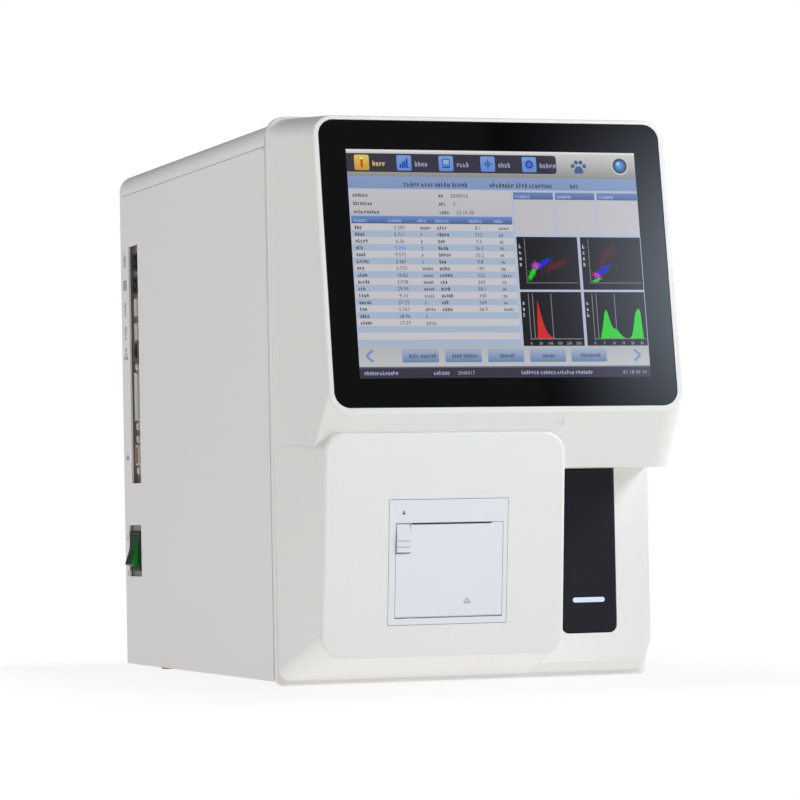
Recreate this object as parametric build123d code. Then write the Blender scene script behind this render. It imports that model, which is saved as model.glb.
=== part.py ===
"""Bench blood analyzer for a veterinary practice: a sheet metal cabinet behind a moulded front.

Everything is drawn from one datum: X runs right from the middle of the screen, Y runs back from the foot
of the glass, and Z runs up from the underside of the front moulding. The last step moves the whole
analyzer so that its origin is the middle of its footprint, at the level of its feet. Sizes are in mm.
"""

from build123d import *
import os
from math import cos, radians, sin

# Fits and cuts
past = 1.0
bite = 0.5
seat_gap = 0.3
running_fit = 0.05
plug_fit = 0.15

# Screen
screen_tilt = 8.07
glass_foot = 189.1
glass_thickness = 2.0
glass_radius = 11.0
glass_chamfer = 0.3
glass_gap = 0.25
glass_recess = 0.4
rim_side = 4.1
rim_top = 3.0
rim_foot = 4.0
rim_radius = 15.0
rim_softness = 1.6
lcd_width = 211.2
lcd_height = 158.4
lcd_foot = 20.05
lcd_head = 20.45
lcd_side = 18.85
lcd_border = 1.5
lcd_frame_side = 12.0
lcd_frame_end = 8.0
lcd_frame_radius = 2.4
lcd_thickness = 6.0
bracket_sheet = 1.2
bracket_rail = 30.0
bracket_inset = 1.5
bracket_foot = 0.12
bracket_head = 0.9
bracket_corner = 3.0
rail_share = 0.7
post_radius = 3.0
post_low = 0.2
post_high = 0.8

# Front moulding
wall = 3.0
least_radius = 1.0
head_flare = 8.25
head_rise = 5.0
lip_step = 1.2
lip_rise = 2.0
lip_depth = 5.0
lip_radius = 13.0
lip_foot_radius = 4.0
lip_softness = 0.8
spigot_length = 5.0
spigot_wall = 2.5
spigot_root = 1.0
opening_radius = 9.0
chin_drop = 127.5
chin_wall = 5.0
overhang_drop = 41.7
underside_slope = 2.7
underside_corner = 3.2
underside_turn = 3.0

# Boss that carries the printer
boss_tilt = 6.38
boss_front = 7.9
boss_margin = 7.5
boss_foot = 20.45
boss_foot_back = 3.0
boss_spread = 8.4
boss_back_rise = 2.4
boss_corner_foot = 16.0
boss_corner_right = 12.0
boss_back_radius = 8.0
boss_softness = 2.6
groove_height = 12.54
groove_depth = 12.2
groove_radius = 3.5
groove_margin_left = 8.3
groove_margin_right = 2.6
groove_mouth = 4.0

# Column to the right of the boss, with the sample door
column_depth = 12.5
column_margin = 1.0
column_foot = 10.7
column_foot_step = 0.1
column_bevel_width = 5.0
column_bevel_height = 15.0
column_back_width = 3.0
column_back_height = 12.0
column_root = 4.0
door_margin = 26.4
door_width = 40.8
door_setback = 26.2
door_foot = 31.4
door_gap = 0.8
door_thickness = 3.0
door_radius = 5.0
sill_skin = 0.5
sill_drop = 2.5
hinge_back = 5.0
hinge_rise = 5.0
hinge_barrel = 3.2
hinge_web = 5.2
hinge_web_drop = 2.4
hinge_end_gap = 0.4
hinge_pin = 1.5
pin_end_gap = 0.3
light_width = 24.4
light_height = 3.7
light_rise = 22.8
light_depth = 1.6
light_proud = 0.2
light_gap = 0.1
cup_radius = 9.5
cup_bore = 7.0
cup_height = 45.0
cup_rise = 18.6
cup_floor = 5.0
cup_back = 19.0
cup_web = 10.0
liner_wall = 2.0
liner_depth = 36.0
liner_margin = 2.5
liner_drop = 4.0
probe_hole = 3.0

# Printer, measured on its own face: x right, y up, z out
printer_margin = 46.35
printer_below = 45.9
printer_gap = 0.35
printer_flange = 3.0
printer_ledge = 1.5
printer_ledge_margin = 4.0
printer_rim = 2.65
printer_back = 4.0
slot_below = 15.7
door_margin_left = 5.0
door_margin_right = 3.4
door_margin_foot = 4.75
panel_gap = 0.35
flap_thickness = 2.2
flap_pin = 0.75
flap_pin_blind = 1.5
flap_pin_skin = 0.5
flap_barrel = 1.7
flap_room = 0.4
flap_rib = 1.2
rib_foot = 14.0
rib_head = 3.5
rib_back = 2.8
paper_width = 57.0
paper_margin_left = 16.0
paper_margin_right = 12.3
paper_slit = 1.4
paper_play = 0.6
lever_width = 9.6
lever_length = 20.0
lever_lift = 1.4
lever_pivot = 3.3
lever_pocket = 7.2
lever_pin_seat = 2.0
lever_facet = 5.0
lever_tail = 1.0
lever_skirt = 1.5
grip_pitch = 4.2
grip_first = 3.6
grip_width = 0.7
grip_depth = 0.3
roll_radius = 19.0
core_radius = 6.0
well_margin = 9.65
throat_depth = 7.5
throat_wall = 2.0
platen_radius = 4.0
platen_shaft = 1.5
platen_drop = 1.2
platen_end_gap = 1.5
head_thickness = 2.5
tooth_pitch = 1.5
tooth_depth = 0.7
tear_height = 3.9
tear_depth = 0.9
tear_sheet = 0.6
tear_gap = 0.1

# Probe above the sample door
probe_travel = 90.0
probe_radius = 0.75
probe_clear = 2.0
probe_park = 6.0
probe_head = 10.0
collar_radius = 2.2
collar_height = 6.0
rail_width = 9.0
rail_depth = 8.0
rail_margin = 5.0
carriage_width = 24.0
carriage_depth = 17.0
carriage_height = 35.0
carriage_gap = 3.0
arm_width = 10.0
arm_height = 12.0
arm_reach = 6.0
tower_margin = 5.0
tower_step = 4.0
tower_drop = 30.0
tower_fold = 14.0
motor_size = 28.0
motor_length = 32.0
motor_chamfer = 3.0
motor_drop = 8.0

# Cabinet
sheet = 1.5
seam_gap = 1.0
cabinet_front = 107.5
cabinet_length = 403.5
cabinet_bottom = 3.0
cover_step = 0.5
cover_drop = 3.6
cover_height = 17.4
cover_gap = 0.6
cover_tuck = 12.0
cover_inner = 5.0
top_radius = 13.0
pan_height = 8.0
pan_flange = 20.0
rear_flange = 14.0
rear_gap = 0.2
flange_gap = 0.5
flange_drop = 2.0
seam_notch = 3.0
seam_notch_depth = 1.4
dimple_from_back = 186.0
dimple_height = 170.0
dimple_radius = 1.7
dimple_depth = 0.5
foot_radius = 12.0
foot_chamfer = 1.5
foot_reach = 1.0
foot_inset = 30.0
foot_from_front = 40.0
foot_from_back = 35.0
screw_radius = 3.2
screw_height = 1.6
screw_count = 4
screw_first = 27.0
screw_last = 15.0

# Ports on the left side, from the lowest to the highest
ports_foot = 146.0
ports_from_back = 24.0
ports_width = 28.0
ports_margin_foot = 6.9
ports_margin_top = 6.5
tray_depth = 4.6
tray_sheet = 1.2
tray_margin = 0.8
port_depth = 14.0
port_proud = 0.3
nut_radius = 2.8
nut_height = 3.4
nut_bore = 1.2
nut_offset = 4.1
shell_half = 4.2
shell_narrow = 1.4
shell_wall = 0.65
shell_back = 0.6
d_body_side = 0.6
d_body_end = 0.4
d_body_proud = 0.5
serial_half = 8.4
serial_pin_count = 5
d_port_gap = 4.6
parallel_half = 19.4
parallel_pin_count = 13
pin_pitch = 2.76
pin_width = 0.8
pin_row = 1.4
network_gap = 1.9
network_half = 7.9
network_side = 6.6
network_front_wall = 2.0
network_latch_wall = 3.2
network_end_wall = 1.9
network_back_wall = 3.0
network_latch = 2.0
usb_gap = 0.4
usb_half = 6.8
usb_side = 3.6
usb_wall = 1.0
usb_end_wall = 0.5
usb_mouth = 9.0
usb_tongue = 1.4
usb_tongue_gap = 0.6
usb_spacing = 5.8
round_spacing_foot = 4.4
round_half = 6.5
round_spacing = 5.3
round_bore = 4.9
round_core = 3.2

# Power switch
switch_foot = 72.4
switch_from_back = 12.5
switch_recess = 2.5
switch_margin_foot = 4.1
switch_margin_top = 4.9
switch_margin_front = 5.2
switch_margin_back = 0.2
bezel_lip = 2.0
bezel_chamfer = 0.8
switch_wall = 1.23
switch_body = 24.0
switch_pivot = 1.1
rocker_width = 20.0
rocker_radius = 12.27
rocker_face = 3.2
rocker_bow = 0.9
rocker_belly = 9.0
rocker_rest = 14.0
rocker_pin = 1.2
blade_length = 8.0
blade_width = 4.8
blade_sheet = 0.8
blade_spread_y = 7.0
blade_spread_z = 8.0

# Rear
fan_size = 60.0
fan_depth = 25.0
fan_wall = 4.0
fan_corner = 3.0
fan_side = 62.0
fan_drop = 75.0
fan_hole = 2.0
fan_hole_inset = 5.0
fan_strut = 3.0
rotor_gap = 1.0
rotor_hub = 11.0
rotor_length = 17.0
rotor_blade_count = 7
blade_pitch = 38.0
blade_chord = 18.0
blade_wall = 1.4
grille_sheet = 1.5
grille_wire = 1.8
grille_border = 2.5
grille_rings = (9.0, 17.5)
inlet_side = 45.0
inlet_height = 92.0
inlet_width = 27.0
inlet_tall = 20.0
inlet_flange = 1.5
inlet_flange_depth = 2.5
inlet_depth = 18.0
inlet_well = 14.0
inlet_pin = 2.0
inlet_pin_tall = 4.0
inlet_pin_spread = 7.0
inlet_pin_rise = 1.0
inlet_earth_rise = 4.0
inlet_tag = 6.3
inlet_slant = 4.0
ground_offset = 34.0
stud_radius = 2.0
stud_length = 13.0
stud_nut = 5.0
hose_height = 70.0
hose_spacing = 24.0
hose_count = 4
hose_side = 29.0
hose_reach = 14.0
hose_tail = 8.0
hose_thread = 4.0
hose_flange = 6.5
hose_neck = 2.6
hose_barb = 3.3
hose_tip = 2.4
hose_bore = 1.4
hose_barb_start = 6.0
vent_count = 9
vent_pitch = 9.0
vent_width = 3.2
vent_height = 34.0
vent_drop = 45.0
vent_side = 42.0

# Divider, board and power supply
divider = 20.0
divider_step = 2.0
divider_back_gap = 12.0
divider_drop = 25.0
divider_foot = 14.0
board_offset = 8.0
board_margin = 1.0
board_side_gap = 4.0
board_top_gap = 2.0
board_sheet = 1.6
sink_offset = 57.0
sink_width = 40.0
sink_rise = 94.0
sink_height = 40.0
sink_base = 4.0
fin_count = 7
fin_pitch = 6.0
fin_height = 12.0
fin_sheet = 2.0
memory_offset = 31.5
memory_depth = 22.0
memory_rise = 14.0
memory_length = 65.0
memory_sheet = 4.0
chip_offset = 28.0
chip_size = 22.0
chip_rise = 34.0
chip_height = 2.5
standoff_radius = 3.0
standoff_left = 25.0
standoff_right = 14.0
standoff_foot = 10.0
standoff_top = 45.0
supply_side = 12.0
supply_divider_gap = 50.0
supply_from_back = 30.0
supply_length = 100.0
supply_height = 46.0
supply_slot_count = 6
supply_slot_pitch = 14.0
supply_slot_width = 8.0
supply_slot_height = 20.0

# Fluid parts
manifold_width = 18.5
manifold_height = 14.0
manifold_rise = 80.5
valve_count = 6
valve_pitch = 26.0
valve_radius = 8.0
valve_height = 26.0
valve_cap = 3.0
valve_cap_height = 7.0
manifold_margin = 15.0
manifold_from_back = 109.5
bracket_width = 50.5
chamber_rise = 166.5
chamber_shelf = 3.0
chamber_from_divider = 34.0
chamber_step = 50.0
chamber_pitch = 40.0
chamber_end = 18.0
chamber_radius = 14.0
chamber_top = 24.0
chamber_shoulder = 12.0
chamber_cone = 26.0
chamber_tail = 34.0
chamber_spout = 3.0
bench_rise = 200.5
bench_width = 60.5
bench_length = 140.0
bench_base = 12.0
bench_gap = 14.0
beam_height = 14.0
beam_offset = 34.5
beam_half = 3.0
laser_radius = 11.0
laser_length = 55.0
laser_start = 5.0
detector_radius = 8.0
detector_length = 40.0
detector_end = 5.0
cell_length = 18.0
cell_width = 20.0
cell_height = 30.0
saddle_width = 14.0
syringe_step = 22.0
syringe_from_back = 59.5
syringe_rise = 220.5
syringe_half = 16.0
frame_sheet = 5.5
frame_foot = 110.0
shelf_reach = 12.0
shelf_height = 8.0
frame_top = 10.0
barrel_radius = 9.0
barrel_bore = 7.0
barrel_length = 70.0
barrel_roof = 5.0
plunger_fit = 0.05
plunger_head = 14.0
plunger_rise = 32.0
plunger_rod = 3.2
plunger_rod_fit = 0.1
plunger_rod_down = 45.0
drive_height = 14.0
drive_half = 12.0
waste_side = 37.0
waste_radius = 24.0
waste_lid = 2.0
waste_height = 90.0
waste_lid_height = 8.0
waste_spout = 3.0
waste_spout_height = 10.0
pump_side = 52.0
pump_gap = 24.0
pump_head_length = 40.0
pump_head_width = 44.0
pump_head_height = 44.0
pump_motor_radius = 18.0
pump_motor_length = 60.0
pump_motor_rise = 22.0
pump_saddle_width = 26.0
pump_saddle_height = 8.0
pump_saddle_end = 6.0

# Heights and widths that follow from these
tilt = radians(screen_tilt)
lean = radians(boss_tilt)
glass_width = lcd_width + 2 * lcd_side
glass_height = lcd_foot + lcd_height + lcd_head
rim_half = glass_width / 2 + rim_side
rim_head = glass_foot + (glass_height + rim_top) * cos(tilt)
rim_sill = glass_foot - rim_foot * cos(tilt)
body_half = rim_half + head_flare
body_top = rim_head + head_rise
lip_half = body_half + lip_step
lip_top = body_top + lip_rise
lip_back = cabinet_front - seam_gap
lip_front = lip_back - lip_depth
chin_back_height = glass_foot - chin_drop
overhang_height = glass_foot - overhang_drop
half_cabinet = lip_half + cover_step
cabinet_top = lip_top - cover_drop
cover_seam = cabinet_top - cover_height
cabinet_back = cabinet_front + cabinet_length
inner_side = half_cabinet - sheet
floor_top = pan_height + sheet
rear_inner = cabinet_back - sheet
flange_front = lip_back + spigot_length + past

# Places of the boss, the column and the door
boss_top = rim_sill - groove_height
boss_length = (boss_top - boss_foot) / cos(lean)
boss_left = -body_half + boss_margin
column_front = lip_front - column_depth
column_right = lip_half - column_margin
door_right = column_right - door_margin
door_left = door_right - door_width
door_middle = (door_left + door_right) / 2
door_top = overhang_height - door_gap
boss_right = door_left - door_setback
boss_right_back = boss_right + boss_spread
column_foot_back = boss_foot_back + column_foot_step
groove_left = boss_left + groove_margin_left
groove_right = boss_right - groove_margin_right
hinge_y = column_front + hinge_back
hinge_z = door_foot + hinge_rise
light_centre = door_foot + light_rise
cup_y = column_front + cup_back
cup_foot = door_foot + cup_rise
liner_left = door_left - door_gap - liner_margin
liner_right = door_right + door_gap + liner_margin
liner_foot = door_foot - door_gap - liner_drop
liner_top = overhang_height + wall
liner_back = column_front + wall + liner_depth
probe_tip = liner_top + liner_wall + probe_clear
carriage_foot = probe_tip + probe_travel + probe_park
divider_front = liner_back + divider_step
divider_back = rear_inner - divider_back_gap
divider_top = cover_seam - divider_drop
tower_front = divider_front + tower_step
tower_top = cover_seam - tower_drop

# Places on the printer's own face
printer_size = paper_margin_left + paper_width + paper_margin_right
half_face = printer_size / 2
printer_body = half_face - printer_rim
slot_y = half_face - slot_below
flap_left = -half_face + door_margin_left
flap_right = half_face - door_margin_right
flap_foot = -half_face + door_margin_foot
lever_left = flap_left + running_fit + panel_gap
lever_right = lever_left + lever_width
lever_pin_y = slot_y - seat_gap - lever_pivot
paper_x0 = -half_face + paper_margin_left
paper_x1 = paper_x0 + paper_width
well_foot = -half_face + well_margin
well_back = -throat_depth - 2 * (roll_radius + seat_gap)
printer_depth = printer_back - well_back
throat_left = lever_right + panel_gap + throat_wall
throat_right = paper_x1 + bite
hinge_drop = flap_foot + flap_barrel
pin_start = -half_face + flap_pin_blind
pin_stop = half_face - flap_pin_skin
platen_y = slot_y - panel_gap - platen_radius - platen_drop
platen_z = -flap_thickness - flap_room - platen_radius
roll_y = well_foot + roll_radius + seat_gap
roll_z = -throat_depth - roll_radius - seat_gap

# Places of the ports and the switch
ports_back = cabinet_back - ports_from_back
ports_front = ports_back - ports_width
port_line = (ports_front + ports_back) / 2
serial_height = ports_foot + ports_margin_foot + nut_radius + serial_half + nut_offset
d_port_ends = 2 * (nut_offset + nut_radius) + d_port_gap
parallel_height = serial_height + serial_half + d_port_ends + parallel_half
network_height = parallel_height + parallel_half + nut_offset + nut_radius + network_gap + network_half
usb_height = network_height + network_half + usb_gap + usb_half
usb_heights = (usb_height, usb_height + 2 * usb_half + usb_spacing)
keyboard_height = usb_heights[1] + usb_half + round_spacing_foot + round_half
mouse_height = keyboard_height + 2 * round_half + round_spacing
ports_top = mouse_height + round_half + ports_margin_top
port_face = -half_cabinet + tray_depth
port_back = port_face + port_depth
board_front = port_line + board_offset
bezel_size = 2 * (rocker_radius + seat_gap + switch_wall + bezel_lip)
switch_inner = bezel_size / 2 - bezel_lip
switch_back = cabinet_back - switch_from_back
switch_front = switch_back - switch_margin_back - bezel_size - switch_margin_front
switch_top = switch_foot + switch_margin_foot + bezel_size + switch_margin_top
switch_face = -half_cabinet + switch_recess
pivot_x = -half_cabinet + switch_pivot
pivot_y = switch_back - switch_margin_back - bezel_size / 2
pivot_z = switch_foot + switch_margin_foot + bezel_size / 2

# Places at the rear and inside
fan_x = inner_side - fan_side
fan_z = cover_seam - fan_drop
fan_bore = fan_size / 2 - fan_wall
rotor_radius = fan_bore - rotor_gap
inlet_x = -inner_side + inlet_side
hose_places = [inner_side - hose_side - i * hose_spacing for i in range(hose_count)]
board_left = port_face + tray_sheet + board_margin
board_right = divider - board_side_gap
divider_face = divider + sheet
syringe_x = divider + syringe_step
syringe_y = rear_inner - syringe_from_back
syringe_seat = floor_top + syringe_rise
bench_back = syringe_y - syringe_half - bench_gap
bench_front = bench_back - bench_length
bench_top = floor_top + bench_rise + bench_base
manifold_back = rear_inner - manifold_from_back
manifold_front = manifold_back - 2 * manifold_margin - (valve_count - 1) * valve_pitch
manifold_top = floor_top + manifold_rise + manifold_height
waste_x = inner_side - waste_side
waste_y = syringe_y
pump_x = inner_side - pump_side
pump_back = waste_y - waste_radius - waste_lid - pump_gap

screen_plane = Plane((0, 0, glass_foot), x_dir=(1, 0, 0), z_dir=(0, -cos(tilt), sin(tilt)))
boss_plane = Plane((0, boss_front, boss_top), x_dir=(1, 0, 0), z_dir=(0, -cos(lean), -sin(lean)))
seam_plane = Plane((0, lip_front, 0), x_dir=(1, 0, 0), z_dir=(0, -1, 0))
printer_x = boss_left + printer_margin + half_face
printer_drop = printer_below + half_face
printer_plane = Plane(
    (printer_x, boss_front + printer_drop * sin(lean), boss_top - printer_drop * cos(lean)),
    x_dir=(1, 0, 0),
    z_dir=(0, -cos(lean), -sin(lean)),
)


def outline(points, radii=0.0):
    """A closed flat outline through the points, its corners rounded."""
    return make_face(FilletPolyline(*points, radius=radii, close=True))


def rectangle(x0, x1, y0, y1, radii=0.0):
    """A rectangle from its limits, starting at the lower left corner."""
    return outline([(x0, y0), (x1, y0), (x1, y1), (x0, y1)], radii)


def along_x(shape, x0, x1):
    """A side view outline (y, z) extruded across the analyzer."""
    return extrude(Plane((x0, 0, 0), x_dir=(0, 1, 0), z_dir=(1, 0, 0)) * shape, x1 - x0)


def along_y(shape, y0, y1):
    """A front view outline (x, z) extruded from front to back."""
    return extrude(Plane((0, y1, 0), x_dir=(1, 0, 0), z_dir=(0, -1, 0)) * shape, y1 - y0)


def block(x0, x1, y0, y1, z0, z1):
    """A plain block from its limits."""
    size = (x1 - x0, y1 - y0, z1 - z0)
    return Pos((x0 + x1) / 2, (y0 + y1) / 2, (z0 + z1) / 2) * Box(*size)


def rod(start, direction, radius, length):
    """A round bar that starts at a point and runs along a direction."""
    seat = Plane(start, z_dir=direction)
    return seat * Cylinder(radius, length, align=(Align.CENTER, Align.CENTER, Align.MIN))


def several(shapes):
    """Equal pieces that share a node, kept as separate solids."""
    solids = []
    for shape in shapes:
        solids.extend(shape.solids())
    return Compound(children=solids)


# Front moulding


def head_mass(inset, chin, depth):
    """The screen head as a solid: from the rim around the glass to the back of the moulding."""
    front = rectangle(
        -rim_half + inset,
        rim_half - inset,
        -rim_foot + chin,
        glass_height + rim_top - inset,
        max(rim_radius - inset, least_radius),
    )
    back = rectangle(
        -body_half + inset,
        body_half - inset,
        chin_back_height + chin,
        body_top - inset,
        max(lip_radius - inset, least_radius),
    )
    return loft([screen_plane.offset(-depth) * front, seam_plane * back], ruled=True), back


def boss_mass(inset):
    """The printer boss as a solid: its leaning face flares back to the seam on three sides."""
    flare = boss_margin / lip_front * boss_length * sin(lean)
    face = outline(
        [
            (boss_left - flare + inset, -boss_length + inset),
            (boss_right + flare - inset, -boss_length + inset),
            (boss_right - inset, -inset),
            (boss_left + inset, -inset),
        ],
        [corner - inset for corner in 2 * (boss_corner_foot, boss_corner_right)],
    )
    back = rectangle(
        -body_half + inset,
        boss_right_back - inset,
        boss_foot_back + inset,
        boss_top + boss_back_rise - inset,
        boss_back_radius - inset,
    )
    return loft([boss_plane.offset(-inset) * face, seam_plane * back], ruled=True), back


def column_outline(foot, right, bevel_width, bevel_height, inset):
    """One section of the column: upright sides and a bevel at the right of its foot."""
    left = boss_right - column_root + inset
    return outline(
        [
            (left, foot + inset),
            (right - bevel_width, foot + inset),
            (right, foot - inset + bevel_height),
            (right, overhang_height),
            (left, overhang_height),
        ]
    )


def column_mass(inset):
    """The recessed column beside the boss: an upright face over a sloping foot."""
    right = column_right - inset
    front = column_outline(column_foot, right, column_bevel_width, column_bevel_height, inset)
    back = column_outline(column_foot_back, right, column_back_width, column_back_height, inset)
    front_plane = Plane((0, column_front + inset, 0), x_dir=(1, 0, 0), z_dir=(0, -1, 0))
    return loft([front_plane * front, seam_plane * back], ruled=True), back


def underside_curve(head):
    """The long shallow curve that leads from the overhang's underside into the column."""
    ceiling = head.faces().filter_by(Axis.Z)[0]
    front = ceiling.bounding_box().min.Y
    turn = column_front - underside_turn
    slope_foot = overhang_height - underside_slope
    column_end = (column_front, slope_foot - underside_corner)
    slope_end = (turn, slope_foot)
    quarter = radians(45)
    knee_y = column_front - underside_turn * (1 - sin(quarter))
    knee = (knee_y, slope_foot - underside_corner * (1 - cos(quarter)))
    belly = ((front + turn) / 2, overhang_height - underside_slope / 4)
    edges = [
        Polyline((front, overhang_height), (column_front, overhang_height), column_end),
        ThreePointArc(column_end, knee, slope_end),
        ThreePointArc(slope_end, belly, (front, overhang_height)),
    ]
    curve = along_x(make_face(edges), groove_right, lip_half)
    return curve & extrude(ceiling, underside_slope + underside_corner + past, dir=(0, 0, -1))


def door_opening(gap):
    """The outline of the sample door, or with a gap, of the opening that it closes."""
    round_foot = door_radius + gap
    return rectangle(
        door_left - gap, door_right + gap, door_foot - gap,
        door_top + gap, [round_foot, round_foot, 0, 0]
    )


def hollow_front(body):
    """Takes the inside out of the front moulding, so that even walls stay."""
    inner_head, head_back = head_mass(wall, chin_wall, wall + glass_thickness + glass_recess)
    inner_boss, boss_back = boss_mass(wall)
    inner_column, column_back = column_mass(wall)
    inner_bay = block(
        groove_right - wall, lip_half, -lip_front, column_front + wall, 0, overhang_height + wall
    )
    body = body - (inner_head - inner_bay) - inner_boss - inner_column
    for back in (head_back, boss_back, column_back):
        body = body - along_y(back, lip_front - bite, lip_back + past)
    opening = rectangle(
        -body_half + wall, body_half - wall, floor_top + wall, body_top - wall, opening_radius
    )
    return body - along_y(opening, lip_front + past, lip_back + past)


def spigot():
    """The collar behind the lip that the cabinet's sheets sit around."""
    head = cabinet_top - sheet
    outer = rectangle(-inner_side, inner_side, floor_top, head, top_radius)
    w = spigot_wall
    bore = rectangle(-inner_side + w, inner_side - w, floor_top + w, head - w, top_radius - w)
    return along_y(outer - bore, lip_back - spigot_root, lip_back + spigot_length)


def finger_groove():
    """The groove under the screen's chin, over the printer boss."""
    section = outline(
        [
            (-groove_mouth, boss_top + running_fit / 2),
            (groove_depth, boss_top + running_fit / 2),
            (-rim_foot * sin(tilt) + glass_recess, rim_sill - bite),
            (-groove_mouth, rim_sill - bite),
        ],
        [0, groove_radius, 0, 0],
    )
    return along_x(section, groove_left, groove_right)


def screen_seat(body):
    """Cuts the glass's pocket and the display's window, and adds the four posts behind them."""
    depth = glass_thickness + glass_recess
    gap = glass_gap
    pocket = rectangle(
        -glass_width / 2 - gap, glass_width / 2 + gap, -gap, glass_height + gap, glass_radius + gap
    )
    body = body - extrude(screen_plane * pocket, -depth)
    reach = lcd_border + gap
    window = rectangle(
        -lcd_width / 2 - reach, lcd_width / 2 + reach, lcd_foot - reach, lcd_foot + lcd_height + reach
    )
    body = body - extrude(screen_plane * window, -depth - wall - lcd_thickness)
    post_x = rim_half - wall - post_radius - past
    for x in (-post_x, post_x):
        for y in (post_low * glass_height, post_high * glass_height):
            post = Cylinder(post_radius, lcd_thickness, align=(Align.CENTER, Align.CENTER, Align.MAX))
            body = body + screen_plane * (Pos(x, y, -depth - wall) * post)
    return body


def printer_seat(body):
    """Adds the ledge behind the printer's bezel and cuts its opening."""
    hole = 2 * (half_face + printer_gap)
    ledge_hole = 2 * (printer_body + seat_gap)
    ledge_size = hole + 2 * printer_ledge_margin
    ledge = Box(
        ledge_size, ledge_size, printer_ledge + past, align=(Align.CENTER, Align.CENTER, Align.MAX)
    )
    body = body + printer_plane * (Pos(0, 0, -printer_flange) * ledge)
    body = body - printer_plane * Box(hole, hole, 2 * printer_flange)
    return body - printer_plane * Box(
        ledge_hole, ledge_hole, 4 * (printer_flange + printer_ledge + past)
    )


def door_seat(body):
    """Cuts the sample door's opening, and the sill's back that its foot swings past."""
    left, right = door_left - door_gap, door_right + door_gap
    body = body - along_y(door_opening(door_gap), column_front - past, column_front + 2 * wall)
    body = body - block(left, right, 0, column_front, door_foot + door_radius, overhang_height)
    sill_y = column_front + sill_skin
    sill_head = door_foot + door_radius + door_gap
    sill = outline(
        [
            (sill_y, sill_head),
            (sill_y, door_foot - door_gap),
            (sill_y + wall, door_foot - door_gap - sill_drop),
            (sill_y + wall, sill_head),
        ]
    )
    return body - along_x(sill, left, right)


def front_moulding():
    """The moulded front: screen head, printer boss and column as one hollow shell with a lip."""
    head, head_back = head_mass(0.0, 0.0, 0.0)
    boss, boss_back = boss_mass(0.0)
    column, column_back = column_mass(0.0)
    head = fillet(head.faces().sort_by(Axis.Y)[0].edges(), rim_softness)
    boss = fillet(boss.faces().sort_by(Axis.Y)[0].edges(), boss_softness)
    head = head - block(groove_right, 2 * lip_half, -lip_front, column_front, 0, overhang_height)
    body = head + boss + column + underside_curve(head)
    for back in (head_back, boss_back, column_back):
        body = body + along_y(back, lip_front, lip_back)
    lip_radii = [lip_foot_radius, lip_foot_radius, lip_radius, lip_radius]
    lip = along_y(rectangle(-lip_half, lip_half, 0, lip_top, lip_radii), lip_front, lip_back)
    body = body + chamfer(lip.faces().sort_by(Axis.Y)[0].edges(), lip_softness)
    body = hollow_front(body) + spigot() - finger_groove()
    return door_seat(printer_seat(screen_seat(body)))


def screen_glass():
    """The black glass that covers the whole front of the screen."""
    face = rectangle(-glass_width / 2, glass_width / 2, 0, glass_height, glass_radius)
    glass = extrude(screen_plane.offset(-glass_recess) * face, -glass_thickness)
    return chamfer(glass.faces().sort_by(Axis.Y)[0].edges(), glass_chamfer)


def display_module():
    """The liquid crystal display: its cell at the glass and its metal frame behind the ledge."""
    back_of_glass = glass_recess + glass_thickness
    cell_half = lcd_width / 2 + lcd_border
    cell = rectangle(-cell_half, cell_half, lcd_foot - lcd_border, lcd_foot + lcd_height + lcd_border)
    frame_half = lcd_width / 2 + lcd_frame_side
    frame = rectangle(
        -frame_half, frame_half, lcd_foot - lcd_frame_end,
        lcd_foot + lcd_height + lcd_frame_end, lcd_frame_radius
    )
    front = extrude(screen_plane.offset(-back_of_glass) * cell, -wall)
    return front + extrude(screen_plane.offset(-back_of_glass - wall) * frame, -lcd_thickness)


def display_bracket():
    """The sheet frame that clamps the display against the moulding's four posts."""
    depth = glass_recess + glass_thickness + wall + lcd_thickness
    edge = rim_half - wall - bracket_inset
    foot, head = bracket_foot * glass_height, bracket_head * glass_height
    plate = rectangle(-edge, edge, foot, head, bracket_corner)
    inner = edge - bracket_rail
    low, high = foot + bracket_rail, head - bracket_rail * rail_share
    plate = plate - rectangle(-inner, inner, low, high, 2 * bracket_corner)
    return extrude(screen_plane.offset(-depth) * plate, -bracket_sheet)


# Printer, built on its own face and then laid on the boss


def cross_bar(y, z, radius, x0, x1):
    """A round bar across the printer."""
    return rod((x0, y, z), (1, 0, 0), radius, x1 - x0)


def printer_housing():
    """The printer's frame: bezel, header, paper well, and the pocket that the lever turns in."""
    shell = block(-half_face, half_face, -half_face, half_face, -printer_flange, 0)
    core = printer_body
    shell = shell + block(-core, core, -core, core, -printer_depth, -printer_flange + bite)
    floor = -flap_thickness - flap_room
    left, right = flap_left - panel_gap, flap_right + panel_gap
    shell = shell - block(left, right, flap_foot - bite, slot_y, floor, past)
    shell = shell - cross_bar(hinge_drop, -flap_barrel, flap_barrel + flap_room, left, right)
    shell = shell - block(throat_left, throat_right, well_foot, slot_y, -throat_depth - past, 0)
    well_left, well_right = paper_x0 - paper_play, paper_x1 + paper_play
    shell = shell - block(well_left, well_right, well_foot, slot_y + tear_gap, well_back, -throat_depth)
    shell = shell - block(
        lever_left - panel_gap,
        lever_right + panel_gap,
        slot_y - lever_length - lever_lift,
        slot_y,
        -lever_pocket,
        past,
    )
    pin_left = lever_left - panel_gap - lever_pin_seat
    pin_right = lever_right + panel_gap + lever_pin_seat
    shell = shell - cross_bar(lever_pin_y, -lever_pivot, flap_pin + running_fit, pin_left, pin_right)
    strip = -tear_depth - tear_sheet
    shell = shell - block(
        paper_x0, paper_x1, slot_y - tear_gap, slot_y + tear_height + tear_gap, strip, -tear_depth
    )
    bore = flap_pin + running_fit
    return printer_plane * (shell - cross_bar(hinge_drop, -flap_barrel, bore, pin_start, pin_stop))


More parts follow.
